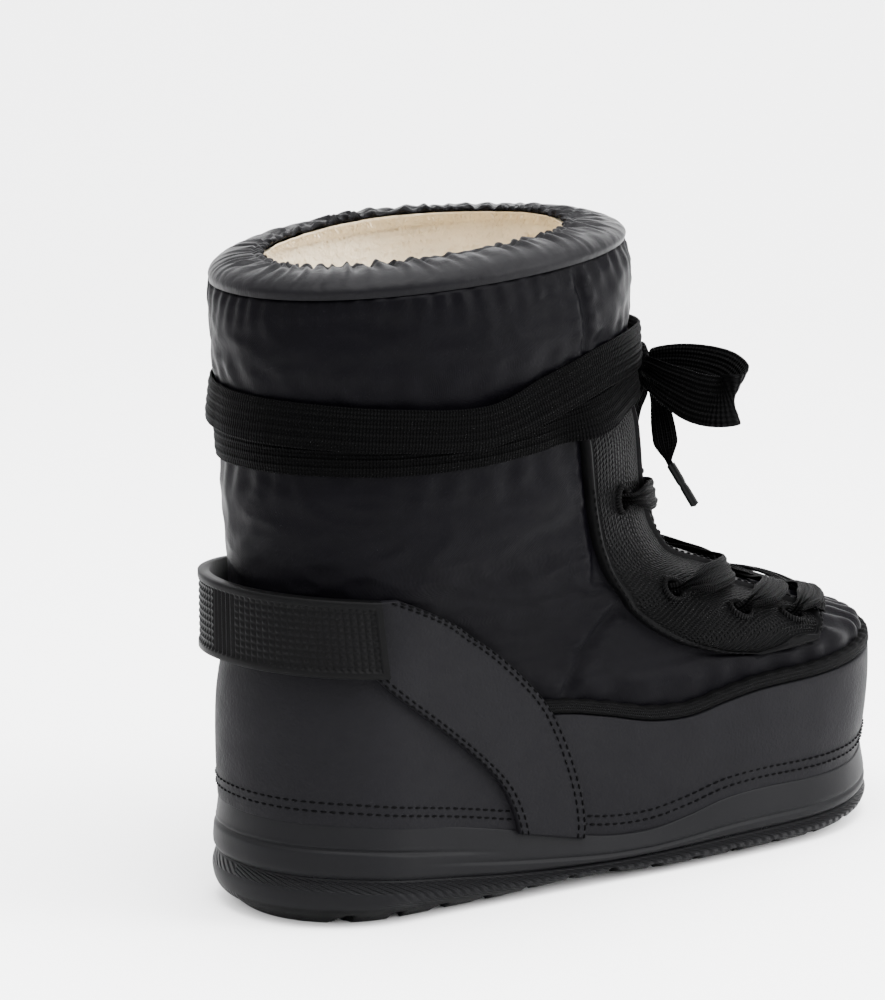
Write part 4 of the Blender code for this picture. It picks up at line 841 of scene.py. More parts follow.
def joint_turn(low_of, high_of, rows):
    """Turn at each row where the rand meets the counter under the crescent."""
    turn = np.full(rows.shape, 1.3)
    for _ in range(8):
        height = low_of(turn) + (high_of(turn) - low_of(turn)) * rows
        middle = 0.5 * (panel_line(height, "rear") + panel_line(height, "front"))
        turn = turn_at(middle, level_at(turn, height), 1)
    return turn[:, None]


def binding_low(turn):
    """Height of the binding tape's lower edge, where the rand ends."""
    return rand_top(turn) - BINDING_WIDTH


def sole_top(turn):
    """Height of the panels' lower edge, which the sole's cup hides."""
    return sole_edge(turn) - PANEL_TUCK


def counter_top(turn):
    """Height of the counter's top edge, which is level."""
    return np.full(np.shape(turn), COUNTER_HEIGHT)


leather = Finish("rubberised_leather", (0.0026, 0.0025, 0.0031), 0.56, 0.14, 35.0, gloss=0.042)
leather.dull(leather.noise(120.0, 4.0), 0.52, 0.70)
leather.bump(leather.noise(520.0, 5.0, 0.6), 0.00035, 0.5)
leather.bump(leather.cells(900.0), 0.00020, 0.35)
leather.bump(leather.noise(28.0, 2.0), 0.0008, 0.25)

rows = shares(22, 0.02)
joint = joint_turn(sole_top, binding_low, rows)
turn, height = band(sole_top, binding_low, rows, shares(420, 0.003), joint, 2.0 * math.pi - joint)
points, normals = overlay(turn, height, SEAT, PANEL_THICKNESS)
swell = 0.25 * MM * field(points, 0.022, 8.0)
rand = grid_piece("toe_rand_leather", points + normals * swell[..., None], leather.material)
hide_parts("toe_rand")
for inset in RAND_STITCHES:
    stitch_runs.append(run_along(points, normals, inset, False))

rows = shares(30, 0.012)
joint = joint_turn(sole_top, counter_top, rows)
turn, height = band(sole_top, counter_top, rows, shares(160, 0.004), -joint, joint)
points, normals = overlay(turn, height, SEAT, PANEL_THICKNESS)
counter = grid_piece("heel_counter_leather", points, leather.material)
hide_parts("heel_counter")
for inset in COUNTER_STITCHES:
    stitch_runs.append(run_along(points, normals, inset, False))

for word, side in (("outer", -1), ("inner", 1)):
    across = shares(34, 0.03)[None, :]
    up_share = shares(90, 0.008)[:, None]
    x = np.zeros((up_share.shape[0], across.shape[1]))
    for _ in range(5):
        low = edge("edge", x) - 0.0012
        height = low + (PANEL_HEIGHT - low) * up_share
        rear, front = panel_line(height, "rear"), panel_line(height, "front")
        x = rear + (front - rear) * across
    turn = turn_at(x, level_at(np.full(x.shape, side * 0.8), height), side)
    points, normals = overlay(turn, height, PANEL_SEAT, PANEL_THICKNESS)
    crescent = grid_piece("side_crescent_" + word, points, leather.material)
    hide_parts("side_panel_" + word)
    for inset in CRESCENT_STITCHES:
        for from_top in (True, False):
            stitch_runs.append(run_along(points, normals, inset, from_top, rows=False))

tape = Finish("braided_tape", (0.0009, 0.0009, 0.0010), 0.75, 0.30, 300.0, gloss=0.025)
weave = tape.math("MULTIPLY", tape.wave(0.0016, 32.0), tape.wave(0.0016, -32.0))
tape.bump(weave, 0.00035, 1.0)
tape.bump(tape.noise(1500.0, 3.0), 0.0002, 0.5)
tape.shade(tape.math("MULTIPLY", weave, 0.6), (0.0045, 0.0045, 0.0047))
rows = shares(8, 0.10)
joint = joint_turn(binding_low, rand_top, rows)
turn, height = band(binding_low, rand_top, rows, shares(500, 0.003), joint, 2.0 * math.pi - joint)
height = height + 0.25 * MM * np.sin(turn * 95.0) * step_up(rows[:, None], 0.6, 1.0)
points, normals = overlay(turn, height, SEAT, BINDING_THICKNESS, 0.0014)
binding = grid_piece("binding_tape", points, tape.material)
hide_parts("rand_binding")

# %% [markdown]
# ## The moulded sole
#
# The sole is one rubber colour in two layers. The cup has a smooth band with thin moulded lines.
# The tread below it has a finely hatched band, short ribs at the heel and cross grooves that show
# as notches. Notches and lines are part of the shape here, and the hatching and the ribs are
# a bump whose strength is a mark on the mesh, because they are finer than any sensible grid.

# %% Shape the cup and the tread
SOLE_BULGE, TREAD_INSET = 0.0050, 0.0050
GROOVE_DEPTH, GROOVE_WIDTH, LUG_PITCH, ZIGZAG = 0.0045, 0.0050, 0.0190, 0.0035
GROOVES = 13
BEND_RUN = 0.01715
SOLE_COLUMNS = 480
# Side walls from bottom to top: share of the height, and share of the bulge or of the inset
OUTSOLE_SIDE = ((0.00, -1.00), (0.12, -0.40), (0.32, 0.60), (0.65, 1.00), (0.90, 0.82), (1.00, 0.62))
MIDSOLE_SIDE = ((0.00, 0.66), (0.10, 0.90), (0.35, 0.88), (0.70, 0.70), (1.00, 0.54))
ring_turns = np.linspace(0.0, 2.0 * math.pi, SOLE_COLUMNS, endpoint=False)
ring_base = wall(ring_turns, 0.5)
ring_flat = unit(outward(ring_turns, 0.5) * np.array([1.0, 1.0, 0.0]))
ring_x = ring_base[:, 0]


def sole_ring(out, height):
    """A ring of the sole at a distance outside the feather line's outline."""
    ring = ring_base + ring_flat * np.broadcast_to(out, ring_x.shape)[:, None]
    ring[:, 2] = height
    return ring


rubber = Finish("sole_rubber", (0.0025, 0.0025, 0.0029), 0.42, 0.12, 30.0, gloss=0.045)
rubber.dull(rubber.noise(60.0, 4.0), 0.42, 0.58)
rubber.bump(rubber.noise(900.0, 3.0), 0.00012, 0.35)
rubber.bump(rubber.math("MULTIPLY", rubber.wave(0.0026, 52.0), rubber.mark("hatch")), 0.00055, 1.0)
rubber.bump(rubber.math("MULTIPLY", rubber.wave(0.0021), rubber.mark("ribs")), 0.00055, 1.0)

heelness = 1.0 - step_up(ring_x, -0.005, 0.050)
low, high = edge("parting", ring_x) + 0.0002, edge("edge", ring_x)
cup_rows = []
for rise_share in np.linspace(0.0, 1.0, 40):
    out = float(table(MIDSOLE_SIDE, 1, rise_share)) * SOLE_BULGE
    line_low = np.exp(-((rise_share - 0.30) * (high - low) / 0.0007) ** 2)
    line_mid = np.exp(-((rise_share - 0.52) * (high - low) / 0.0008) ** 2)
    dent = 0.0007 * line_low * (1.0 - heelness) + 0.0011 * line_mid * heelness
    dent = dent + 0.0004 * step_up(rise_share, 0.55, 0.62) * heelness
    cup_rows.append(sole_ring(out - dent, low + (high - low) * rise_share))
for drop, out in ((-0.0004, 0.0019), (-0.0002, 0.0009), (0.0010, 0.0003), (0.0040, 0.0003)):
    cup_rows.append(beside_wall(ring_turns, high - drop, np.full(ring_x.shape, out)))
cup_points = np.array(cup_rows)
nothing = np.zeros(cup_points.shape[:2])
cup = grid_piece("sole_cup", cup_points, rubber.material, closed=True,
                 marks={"hatch": nothing, "ribs": nothing})
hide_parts("midsole")

tread_z = edge("lift", ring_x) + edge("spring", ring_x)
parting = edge("parting", ring_x)


def groove_share(x, y):
    """1 in a zigzag groove of the tread and 0 on its lugs."""
    across = np.abs(y)
    bend = np.where(across < 2.0 * BEND_RUN, -1.0 + across / BEND_RUN,
                    1.0 - (across - 2.0 * BEND_RUN) / BEND_RUN)
    phase = (x - ZIGZAG * bend + HEEL_SET) / LUG_PITCH
    gap = np.abs(phase - np.round(phase)) * LUG_PITCH
    is_groove = (np.round(phase) >= 1) & (np.round(phase) <= GROOVES)
    return (1.0 - step_up(gap, GROOVE_WIDTH * 0.5 - 0.0007, GROOVE_WIDTH * 0.5 + 0.0003)) * is_groove


tread_rows, hatch_rows, rib_rows = [], [], []
for rise_share in np.linspace(1.0, 0.0, 30):
    out = float(table(OUTSOLE_SIDE, 1, rise_share))
    out *= TREAD_INSET if out < 0.0 else SOLE_BULGE
    ring = sole_ring(out, tread_z + (parting - tread_z) * rise_share)
    floor = tread_z + GROOVE_DEPTH * groove_share(ring[:, 0], ring[:, 1])
    ring[:, 2] = np.maximum(ring[:, 2], np.minimum(floor, parting - 0.002))
    tread_rows.append(ring)
    from_top = parting - ring[:, 2]
    hatch = step_up(from_top, 0.0006, 0.0012) * step_up(ring[:, 2] - tread_z, 0.0020, 0.0032)
    past_heel = step_up(ring_x, -0.015, 0.020)
    low_wall = 1.0 - step_up(rise_share, 0.30, 0.42)
    hatch_rows.append(hatch * np.clip(past_heel + (from_top < 0.0045) * 0.9, 0.0, 1.0))
    rib_rows.append(low_wall * (1.0 - past_heel) * step_up(ring[:, 2] - tread_z, 0.0008, 0.0015))
edge_ring = sole_ring(-TREAD_INSET, tread_z)
for inner in np.linspace(1.0, 0.0, 70)[1:]:
    ring = drawn_in(edge_ring, inner)
    ring[:, 2] = tread_z + GROOVE_DEPTH * groove_share(ring[:, 0], ring[:, 1])
    tread_rows.append(ring)
    hatch_rows.append(np.zeros(SOLE_COLUMNS))
    rib_rows.append(np.zeros(SOLE_COLUMNS))
tread = grid_piece("sole_tread", np.array(tread_rows), rubber.material, closed=True,
                   marks={"hatch": np.array(hatch_rows), "ribs": np.array(rib_rows)})
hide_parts("outsole")

# %% [markdown]
# ## The heel strap
#
# A moulded rubber strap runs round the heel and stands a little off it, so a hand can catch it.
# Its face has a grid of small pyramids with a plain raised rim. The pyramids are real relief,
# because their facets are what glints in the photograph, and the columns of points are spaced
# evenly along the strap so that they come out alike.

# %% Mould the strap
STRAP_WIDTH, STRAP_THICKNESS, STRAP_RIM, STRAP_RIM_WIDTH = 0.0290, 0.0032, 0.0010, 0.0030
STRAP_HEIGHT, STRAP_DROP, STRAP_END_X, STRAP_END_SLANT = 0.1112, 0.0032, 0.0350, 0.0600
STRAP_STANDOFF, STRAP_LEAN = 0.0018, 0.0016
PYRAMID_PITCH, PYRAMID_HEIGHT = 0.0025, 0.0008
STRAP_ABOVE = 9.5
PANEL_FACE = PANEL_SEAT + PANEL_THICKNESS


def strap_line(along):
    """Turn that the strap's end reaches, and the strap's middle height, at places from end to end."""
    middle = STRAP_HEIGHT - STRAP_DROP * along ** 2
    return turn_at(STRAP_END_X - HEEL_SET, level_at(np.full(middle.shape, 0.3), middle), 1), middle


coarse = np.linspace(-0.995, 0.995, 241)
coarse_reach, coarse_middle = strap_line(coarse)
coarse_turn = coarse_reach * coarse
coarse_run = lengths(wall(coarse_turn, level_at(coarse_turn, coarse_middle, STRAP_ABOVE)))
even = np.interp(np.linspace(0.0, coarse_run[-1], 560), coarse_run, coarse)
strap_along = np.concatenate([[-1.0, -0.9996, -0.998], even, [0.998, 0.9996, 1.0]])
strap_free = 1.0 - strap_along ** 4
strap_reach, strap_middle = strap_line(strap_along)
strap_edges, strap_flats = [], []
for end in (-1, 1):
    turn = strap_reach * strap_along * (1.0 + end * STRAP_END_SLANT)
    height = strap_middle + end * 0.5 * STRAP_WIDTH
    level = level_at(turn, height, STRAP_ABOVE)
    strap_flats.append(unit(outward(turn, level) * np.array([1.0, 1.0, 0.0])))
    place = off_wall(turn, level, PANEL_FACE + SEAT + STRAP_STANDOFF * strap_free)
    place[:, 2] = height
    strap_edges.append(place)
flat = unit(strap_flats[0] + strap_flats[1])
lean_gap = np.maximum(((strap_edges[0] - strap_edges[1]) * flat).sum(-1) - STRAP_LEAN, 0.0)
strap_edges[1] = strap_edges[1] + flat * (lean_gap * strap_free)[:, None]
strap_up = unit(strap_edges[1] - strap_edges[0])
strap_out = unit(flat - strap_up * (flat * strap_up).sum(-1, keepdims=True))
strap_run = lengths(strap_edges[0])
place_across = np.concatenate([[0.0, 0.0, 0.012, 0.05], np.linspace(0.075, 0.925, 70),
                               [0.95, 0.988, 1.0, 1.0]])
strap_rows = []
for index, share in enumerate(place_across):
    from_side = min(share, 1.0 - share) * STRAP_WIDTH
    rim = 1.0 - float(step_up(from_side, STRAP_RIM_WIDTH - 0.0006, STRAP_RIM_WIDTH + 0.0002))
    width_run = (share - 0.5) * STRAP_WIDTH
    cell_u = np.abs((strap_run / PYRAMID_PITCH) % 1.0 - 0.5) * 2.0
    cell_v = abs((width_run / PYRAMID_PITCH) % 1.0 - 0.5) * 2.0
    ribs = 1.0 - step_up(np.abs(strap_along), 0.06, 0.12)
    pyramid = 1.0 - np.maximum(cell_u, cell_v * (1.0 - ribs))
    from_end = np.minimum(strap_run, strap_run[-1] - strap_run)
    end_rim = 1.0 - step_up(from_end, STRAP_RIM_WIDTH - 0.0006, STRAP_RIM_WIDTH + 0.0002)
    raised = np.maximum(rim, end_rim)
    depth = STRAP_THICKNESS + STRAP_RIM * raised + PYRAMID_HEIGHT * pyramid * (1.0 - raised)
    if index in (0, len(place_across) - 1):
        depth = np.zeros(strap_along.shape)
    elif index in (1, len(place_across) - 2):
        depth = depth - 0.0008
    depth = depth * np.where(np.abs(strap_along) > 0.9999, 0.0, 1.0)
    inner_face = strap_edges[0] + (strap_edges[1] - strap_edges[0]) * share
    strap_rows.append(inner_face + strap_out * depth[:, None])
strap_rows.append(strap_rows[0].copy())
trim = Finish("trim_rubber", (0.0010, 0.0010, 0.0011), 0.42, 0.15, 40.0, gloss=0.034)
trim.dull(trim.noise(90.0, 3.0), 0.42, 0.58)
trim.bump(trim.noise(1100.0, 3.0), 0.00012, 0.4)
strap = grid_piece("heel_strap_moulded", np.array(strap_rows), trim.material)
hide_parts("heel_strap")

# %% [markdown]
# ## Eyestays and their eyelets
#
# On each side of the throat a moulded rubber panel carries four lace holes. It has a rounded rim,
# a stitched groove inside the rim and a fine grid on its face. The holes sink to the upper, and
# a raised oval ring with a corded look stands round each one.

# %% Mould the eyestays
EYELET_LENGTH, EYELET_WIDTH, EYELET_RING, EYELET_RISE = 0.0120, 0.0090, 0.0021, 0.0013
EYESTAY_THICKNESS, EYESTAY_RIM = 0.0018, 0.0012
LACE_WIDTH, LACE_THICKNESS = 0.0160, 0.0018
EYESTAY_OUT = SEAT + EYESTAY_THICKNESS
TAPER_START, TAPER_END, TAPER_SHARE = 11.2, 11.9, 0.62
EYESTAY_LOW = 3.3


def eyestay_turn(side, degrees):
    """Turn of a place on one side of the boot, counted in degrees from the toe."""
    return math.pi - side * np.radians(degrees)


def eyelet_frame(side, index):
    """Centre, long direction, cross direction and outward direction of an eyelet."""
    level, degrees = EYELET_ROWS[index]
    turn = eyestay_turn(side, degrees)
    centre = off_wall(turn, level, EYESTAY_OUT)
    out = outward(np.array(turn), np.array(level))
    along = unit(wall(turn, level + 0.1) - wall(turn, level - 0.1))
    across = unit(np.cross(out, along))
    return centre, along, across, out


grid_rubber = Finish("eyestay_rubber", (0.0007, 0.0007, 0.0008), 0.44, 0.15, 40.0, gloss=0.022)
grid_rubber.dull(grid_rubber.noise(90.0, 3.0), 0.44, 0.60)
checks = grid_rubber.math("MAXIMUM", grid_rubber.wave(0.0021), grid_rubber.wave(0.0021, 90.0))
grid_rubber.bump(grid_rubber.math("MULTIPLY", checks, grid_rubber.mark("face")), -0.00060, 1.0)
grid_rubber.bump(grid_rubber.noise(900.0, 3.0), 0.00010, 0.4)


def soften_edge(level, degrees, reach=0.016):
    """Ease an edge's corners: smooth its line in space, then find the nearest angle at each level."""
    line = wall(eyestay_turn(-1, degrees), level)
    run = lengths(line)
    smooth = []
    for place in run:
        weight = np.exp(-((run - place) / reach) ** 2) * np.gradient(run)
        mirrored = np.minimum(place, run[-1] - place)
        weight *= np.abs(run - place) <= mirrored + 1e-6
        smooth.append((line * weight[:, None]).sum(0) / weight.sum())
    smooth = np.array(smooth)
    tries = degrees[:, None] + np.linspace(-8.0, 8.0, 81)[None]
    spots = wall(eyestay_turn(-1, tries), np.broadcast_to(level[:, None], tries.shape))
    gap = np.array([np.linalg.norm(row[:, None] - smooth[None], axis=-1).min(1) for row in spots])
    return tries[np.arange(len(level)), gap.argmin(1)]


for word, side in (("outer", -1), ("inner", 1)):
    level = EYESTAY_LOW + (TAPER_END - EYESTAY_LOW) * shares(230, 0.012)
    across = shares(62, 0.05)[None, :]
    throat = eyestay_edge("throat", level)[:, None]
    outer = soften_edge(level, eyestay_edge("outer", level))
    outer = np.convolve(np.pad(outer, 6, mode="edge"), np.ones(13) / 13.0, mode="valid")[:, None]
    level = level[:, None]
    degrees = throat + (outer - throat) * across
    turn = eyestay_turn(side, degrees)
    level = np.broadcast_to(level, turn.shape)
    places = wall(turn, level)
    side_run = lengths(places.transpose(1, 0, 2)).T
    from_side = np.minimum(side_run, side_run[:, -1:] - side_run)
    from_toe = lengths(places)
    from_edge = np.minimum(from_side, from_toe)
    rounded = np.sqrt(1.0 - (1.0 - np.clip(from_edge / 0.0009, 0.0, 1.0)) ** 2)
    rim = np.exp(-((from_edge - 0.0016) / 0.0013) ** 4)
    groove = np.exp(-((from_edge - 0.0040) / 0.0006) ** 2)
    thin = 1.0 - TAPER_SHARE * step_up(level, TAPER_START, TAPER_END)
    out = SEAT - 0.0006 + (EYESTAY_THICKNESS + 0.0006 + EYESTAY_RIM * rim - 0.0006 * groove) * rounded * thin
    out = np.where(level > TAPER_END - 0.03, np.minimum(out, SEAT), out)
    for index in range(len(EYELET_ROWS)):
        centre, hole_along, hole_across, _ = eyelet_frame(side, index)
        offset = places - centre
        size = np.sqrt(((offset @ hole_along) / (0.5 * EYELET_LENGTH - EYELET_RING * 0.7)) ** 2
                       + ((offset @ hole_across) / (0.5 * EYELET_WIDTH - EYELET_RING * 0.7)) ** 2)
        out = np.where(size < 1.0, 0.0001, out)
    points = off_wall(turn, level, out)
    face = step_up(from_edge, 0.0048, 0.0056)
    stay = grid_piece("eyestay_moulded_" + word, points, grid_rubber.material,
                      marks={"face": face})
    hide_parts("eyestay_" + word)
    normal = outward(turn, level)
    rows_used = slice(6, 205)
    for from_top in (False, True):
        stitch_runs.append(run_along(points[rows_used], normal[rows_used], EYESTAY_STITCHES, from_top,
                                     rows=False))

# %% Set the eyelets
cord_look = Finish("eyelet_cord", (0.0012, 0.0012, 0.0013), 0.60, 0.20, 300.0, gloss=0.035)
cord_look.bump(cord_look.wave(0.0011, 35.0), 0.00035, 1.0)
ring_angles = np.linspace(0.0, 2.0 * math.pi, 72, endpoint=False)
ring_profile = [(math.cos(a), math.sin(a)) for a in np.linspace(-0.35, math.pi + 0.35, 13)]
for word, side in (("outer", -1), ("inner", 1)):
    for index in range(len(EYELET_ROWS)):
        centre, along, across, out = eyelet_frame(side, index)
        half_length, half_width = 0.5 * (EYELET_LENGTH - EYELET_RING), 0.5 * (EYELET_WIDTH - EYELET_RING)
        rows = []
        for width, height in ring_profile:
            reach = width * 0.5 * EYELET_RING
            spread = np.cos(ring_angles)[:, None] * along * (half_length + reach)
            spread = spread + np.sin(ring_angles)[:, None] * across * (half_width + reach)
            knob = 1.0 + 0.08 * np.sin(ring_angles * 26.0 + height * 2.0)
            rows.append(centre + spread + out * (SEAT * 0.4 + height * EYELET_RISE * 1.1 * knob)[:, None])
        name = "eyelet_" + word + "_" + str(index + 1)
        ring = grid_piece(name + "_ring", np.array(rows), cord_look.material, closed=True)
        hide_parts(name)

# %% [markdown]
# ## The flat lace
#
# One flat braided lace does all the tying. It is drawn as a ribbon: a path, a width at each place
# and the direction of that width. Five soft ridges run along it, and a fine braid is in the
# bump. Where it leaves an eyelet it is squeezed, so the ribbon is folded across into pleats.
# A bevelled curve would turn its section unevenly in the bow, which a ribbon mesh does not.

# %% Ribbons
lace_finish = Finish("braided_lace", (0.0004, 0.0004, 0.00045), 0.60, 0.25, 200.0, gloss=0.014)
braid = lace_finish.math("MULTIPLY", lace_finish.wave(0.0019, 38.0), lace_finish.wave(0.0019, -38.0))
lace_finish.bump(braid, 0.00050, 1.0)
lace_finish.bump(lace_finish.noise(1400.0, 3.0), 0.00015, 0.5)
lace_finish.shade(lace_finish.math("MULTIPLY", braid, 0.35), (0.0028, 0.0028, 0.0030))
RIDGES = 5
RIBBON_POINTS = 26


def ribbon(name, path, widths, wide, thickness=LACE_THICKNESS, pleat=0.0, closed=False, cupped=0.0):
    """A ridged flat lace along a path. wide gives the direction of its width at each point."""
    path, wide = np.asarray(path, float), np.asarray(wide, float)
    widths = np.broadcast_to(widths, len(path))
    pleat, cupped = np.broadcast_to(pleat, len(path)), np.broadcast_to(cupped, len(path))
    if closed:
        ahead = unit(np.roll(path, -1, 0) - np.roll(path, 1, 0))
    else:
        ahead = unit(np.gradient(path, axis=0))
    wide = unit(wide - ahead * (wide * ahead).sum(-1, keepdims=True))
    thin = np.cross(ahead, wide)
    across = np.linspace(-1.0, 1.0, RIBBON_POINTS)
    rows = []
    for face in (1, -1):
        for share in across[::face]:
            edge_fall = math.sqrt(max(0.0, 1.0 - abs(share) ** 8))
            ridge = 0.50 + 0.50 * abs(math.cos(0.5 * math.pi * RIDGES * (share + 1.0)))
            level = face * 0.5 * thickness * edge_fall * ridge
            fold = pleat * math.sin(3.0 * math.pi * share + 0.6) + cupped * (share * share - 0.4)
            rows.append(path + wide * (share * 0.5 * widths)[:, None] + thin * (level + fold)[:, None])
    rows.append(rows[0])
    points = np.array(rows)
    run = lengths(path)
    if closed:
        run = np.append(run, run[-1] + np.linalg.norm(path[0] - path[-1]))
    girth = np.concatenate([across, across, [1.0]]) * LACE_WIDTH * 0.5
    along = np.broadcast_to(run[None], (len(rows), len(run)))
    return grid_piece(name, points, lace_finish.material, closed=closed, along=along,
                      across=np.broadcast_to(girth[:, None], along.shape))


def eyestay_stand(level, raised):
    """Height of the eyestay's face over the nylon, with a share of its raised rim."""
    thin = 1.0 - TAPER_SHARE * float(step_up(level, TAPER_START, TAPER_END))
    return SEAT + (EYESTAY_THICKNESS + EYESTAY_RIM * raised) * thin


def eyestay_cover(turn, level):
    """Height of the eyestay's face at a place that a wrap crosses, and 0 beside it."""
    degrees = abs(180.0 - math.degrees(abs(turn)))
    if level > TAPER_END + 0.1 or degrees > float(eyestay_edge("outer", level)) + 4.0:
        return 0.0
    return eyestay_stand(level, 1.0)


def lean(heights, top):
    """Heights of a band's lower and upper edge over what lies under it."""
    top, low, last = max(top, heights[-1]), 0.0, len(heights) - 1
    for index, height in enumerate(heights[:-1]):
        low = max(low, (height - top * index / last) / (1.0 - index / last))
    return low, top


# %% Wrap the ankle
steps, places = 48, 9
low_edges, high_edges = np.zeros((steps, 2)), np.zeros((steps, 2))
for step in range(steps):
    turn = -2.0 * math.pi * step / steps
    low_middle, high_middle = float(wrap_middle(turn, "low")), float(wrap_middle(turn, "high"))
    under, over = [], []
    for place in range(places):
        height = low_middle + (place / (places - 1) - 0.5) * LACE_WIDTH
        under.append(eyestay_cover(turn, float(level_at(turn, height, COLLAR))) + SEAT)
    low, high = lean(under, 0.0)
    for place in range(places):
        height = high_middle + (place / (places - 1) - 0.5) * LACE_WIDTH
        share = (height - low_middle) / LACE_WIDTH + 0.5
        stand = eyestay_cover(turn, float(level_at(turn, height, COLLAR)))
        if share < 1.02:
            stand = low + (high - low) * share + LACE_THICKNESS + 0.0003
        over.append(stand + SEAT)
    shared = 1.0 - (high_middle - low_middle) / LACE_WIDTH
    ride = (max(low, high) + LACE_THICKNESS + SEAT) * float(step_up(shared, 0.20, 0.50))
    low_edges[step] = low, high
    high_edges[step] = lean(over, ride)

WRAP_POINTS = 540
wrap_turns = -np.linspace(0.0, 2.0 * math.pi, WRAP_POINTS, endpoint=False)
at = np.linspace(0.0, steps, WRAP_POINTS, endpoint=False)
for name, edges_of, word in (("lace_wrap_low", low_edges, "low"), ("lace_wrap_high", high_edges, "high")):
    looped = np.concatenate([edges_of[-2:], edges_of, edges_of[:3]])
    stands = [read(np.arange(-2, steps + 3), looped[:, side], at) for side in (0, 1)]
    middle = wrap_middle(wrap_turns, word)
    ends = []
    for side, stand in ((-1, stands[0]), (1, stands[1])):
        level = level_at(wrap_turns, middle + side * 0.5 * LACE_WIDTH, COLLAR)
        ends.append(off_wall(wrap_turns, level, stand + 0.5 * LACE_THICKNESS + 0.0002))
    path = 0.5 * (ends[0] + ends[1])
    ripple = np.abs(0.35 * MM * field(path, 0.018, 12.0))
    from_middle = unit(path * np.array([1.0, 1.0, 0.0]) - np.array([0.042, 0.0, 0.0]))
    path = path + from_middle * ripple[:, None]
    wrap = ribbon(name + "_braid", path, np.linalg.norm(ends[1] - ends[0], axis=-1), ends[1] - ends[0],
                  closed=True)
    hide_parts(name)

# %% Cross the throat
BUNCH_WIDTH, CROSSING_WIDTH, RUN_LIFT, THROAT_GAP = 0.0046, 0.0112, 0.0012, 0.0003
RUN_SLANT, RUN_DROP, RUN_END_GAP, HOLLOW_LIFT = 0.30, 0.6, 12.0, 0.4
# Along a run in eyelet widths: place, rise over the eyelet's ring, spread from bunched to flat
RUN_ROWS = ((-0.13, 0.10, 0.0), (-0.03, 0.42, 0.0), (0.07, 0.82, 0.0), (0.22, 1.03, 0.0),
            (0.50, 1.04, 0.1), (0.90, 1.12, 0.5), (1.40, 1.15, 1.0))


def hollow(turn, level, half):
    """How deep the wall dips under a flat lace."""
    here = wall(turn, level)
    reach = half / (np.linalg.norm(wall(turn, level + 0.1) - here, axis=-1) / 0.1)
    middle = 0.5 * (wall(turn, level + reach) + wall(turn, level - reach))
    return np.maximum(0.0, ((middle - here) * outward(turn, level)).sum(-1))


def lace_run(name, side, index, lift):
    """One run of the lace, from an eyelet over the throat to the far eyestay."""
    level, degrees = EYELET_ROWS[index]
    below = EYELET_ROWS[index + 1][0] if index + 1 < len(EYELET_ROWS) else level - RUN_DROP
    target = level + (below - level) * RUN_SLANT
    start = np.array([eyestay_turn(side, degrees), level])
    end = np.array([eyestay_turn(-side, float(eyestay_edge("throat", target)) - RUN_END_GAP + 9.0), target])
    length = float(np.linalg.norm(wall(*end) - wall(*start)))
    distance = np.concatenate([np.linspace(-0.13, 1.4, 40) * EYELET_WIDTH,
                               np.linspace(1.4 * EYELET_WIDTH, length, 60)[1:]])
    share = distance / length
    turn, level = start[0] + (end[0] - start[0]) * share, start[1] + (end[1] - start[1]) * share
    rise = table(RUN_ROWS, 1, distance / EYELET_WIDTH) * (1.0 - step_up(share, 0.36, 0.66))
    middle = step_up(share, 0.35, 0.60) * (1.0 - step_up(share, 0.85, 1.0))
    spread = table(RUN_ROWS, 2, distance / EYELET_WIDTH)
    width = BUNCH_WIDTH + (CROSSING_WIDTH - BUNCH_WIDTH) * spread
    low = 2.0 * SEAT + 0.5 * LACE_THICKNESS
    high = EYESTAY_OUT + SEAT + EYELET_RISE + SEAT + 0.5 * LACE_THICKNESS
    stand = (low + (high - low) * rise + (lift + THROAT_GAP) * middle
             + hollow(turn, level, 0.5 * width) * HOLLOW_LIFT)
    path = off_wall(turn, level, stand)
    wide = unit(wall(turn, level + 0.1) - wall(turn, level - 0.1))
    pleat = 0.0008 * (1.0 - spread) + 0.00025
    return ribbon(name, path, width, wide, LACE_THICKNESS * 0.8, pleat)


for index in range(len(EYELET_ROWS)):
    outer_run = lace_run("lace_run_outer_" + str(index + 1), -1, index, 0.0)
    lace_run("lace_run_inner_" + str(index + 1), 1, index, RUN_LIFT)
    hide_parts("lace_crossing_" + str(index + 1))

# %% [markdown]
# ## The bow
#
# The free ends of the lace are cords, so their routes are repeated from the solids, point by
# point. Each loop stands on edge and opens towards its fold. The ends hang down and finish in
# flat moulded tips. The lace's width is its diameter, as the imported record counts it.

# %% Tie the bow
KNOT_PLACE = (0.1327, -0.0090, 0.1890)
OUTER_LOOP = ((0.1345, -0.0157, 0.1880), (0.1405, -0.0245, 0.1885), (0.1440, -0.0350, 0.1880),
              (0.1455, -0.0455, 0.1865), (0.1435, -0.0550, 0.1835), (0.1385, -0.0600, 0.1810),
              (0.1340, -0.0565, 0.1795), (0.1322, -0.0470, 0.1795), (0.1316, -0.0370, 0.1810),
              (0.1312, -0.0270, 0.1830), (0.1314, -0.0157, 0.1860))
INNER_LOOP = ((0.1345, -0.0026, 0.1880), (0.1400, 0.0075, 0.1885), (0.1435, 0.0185, 0.1875),
              (0.1450, 0.0290, 0.1855), (0.1435, 0.0385, 0.1820), (0.1390, 0.0425, 0.1795),
              (0.1345, 0.0390, 0.1785), (0.1326, 0.0290, 0.1790), (0.1318, 0.0190, 0.1810),
              (0.1312, 0.0090, 0.1830), (0.1314, -0.0026, 0.1860))
OUTER_END = ((0.1384, -0.0080, 0.1905), (0.1393, -0.0090, 0.1850), (0.1402, -0.0112, 0.1785),
             (0.1404, -0.0140, 0.1715), (0.1400, -0.0165, 0.1640), (0.1396, -0.0190, 0.1565),
             (0.1396, -0.0210, 0.1500))
OUTER_TIP = (0.1450, -0.0290, 0.1350)
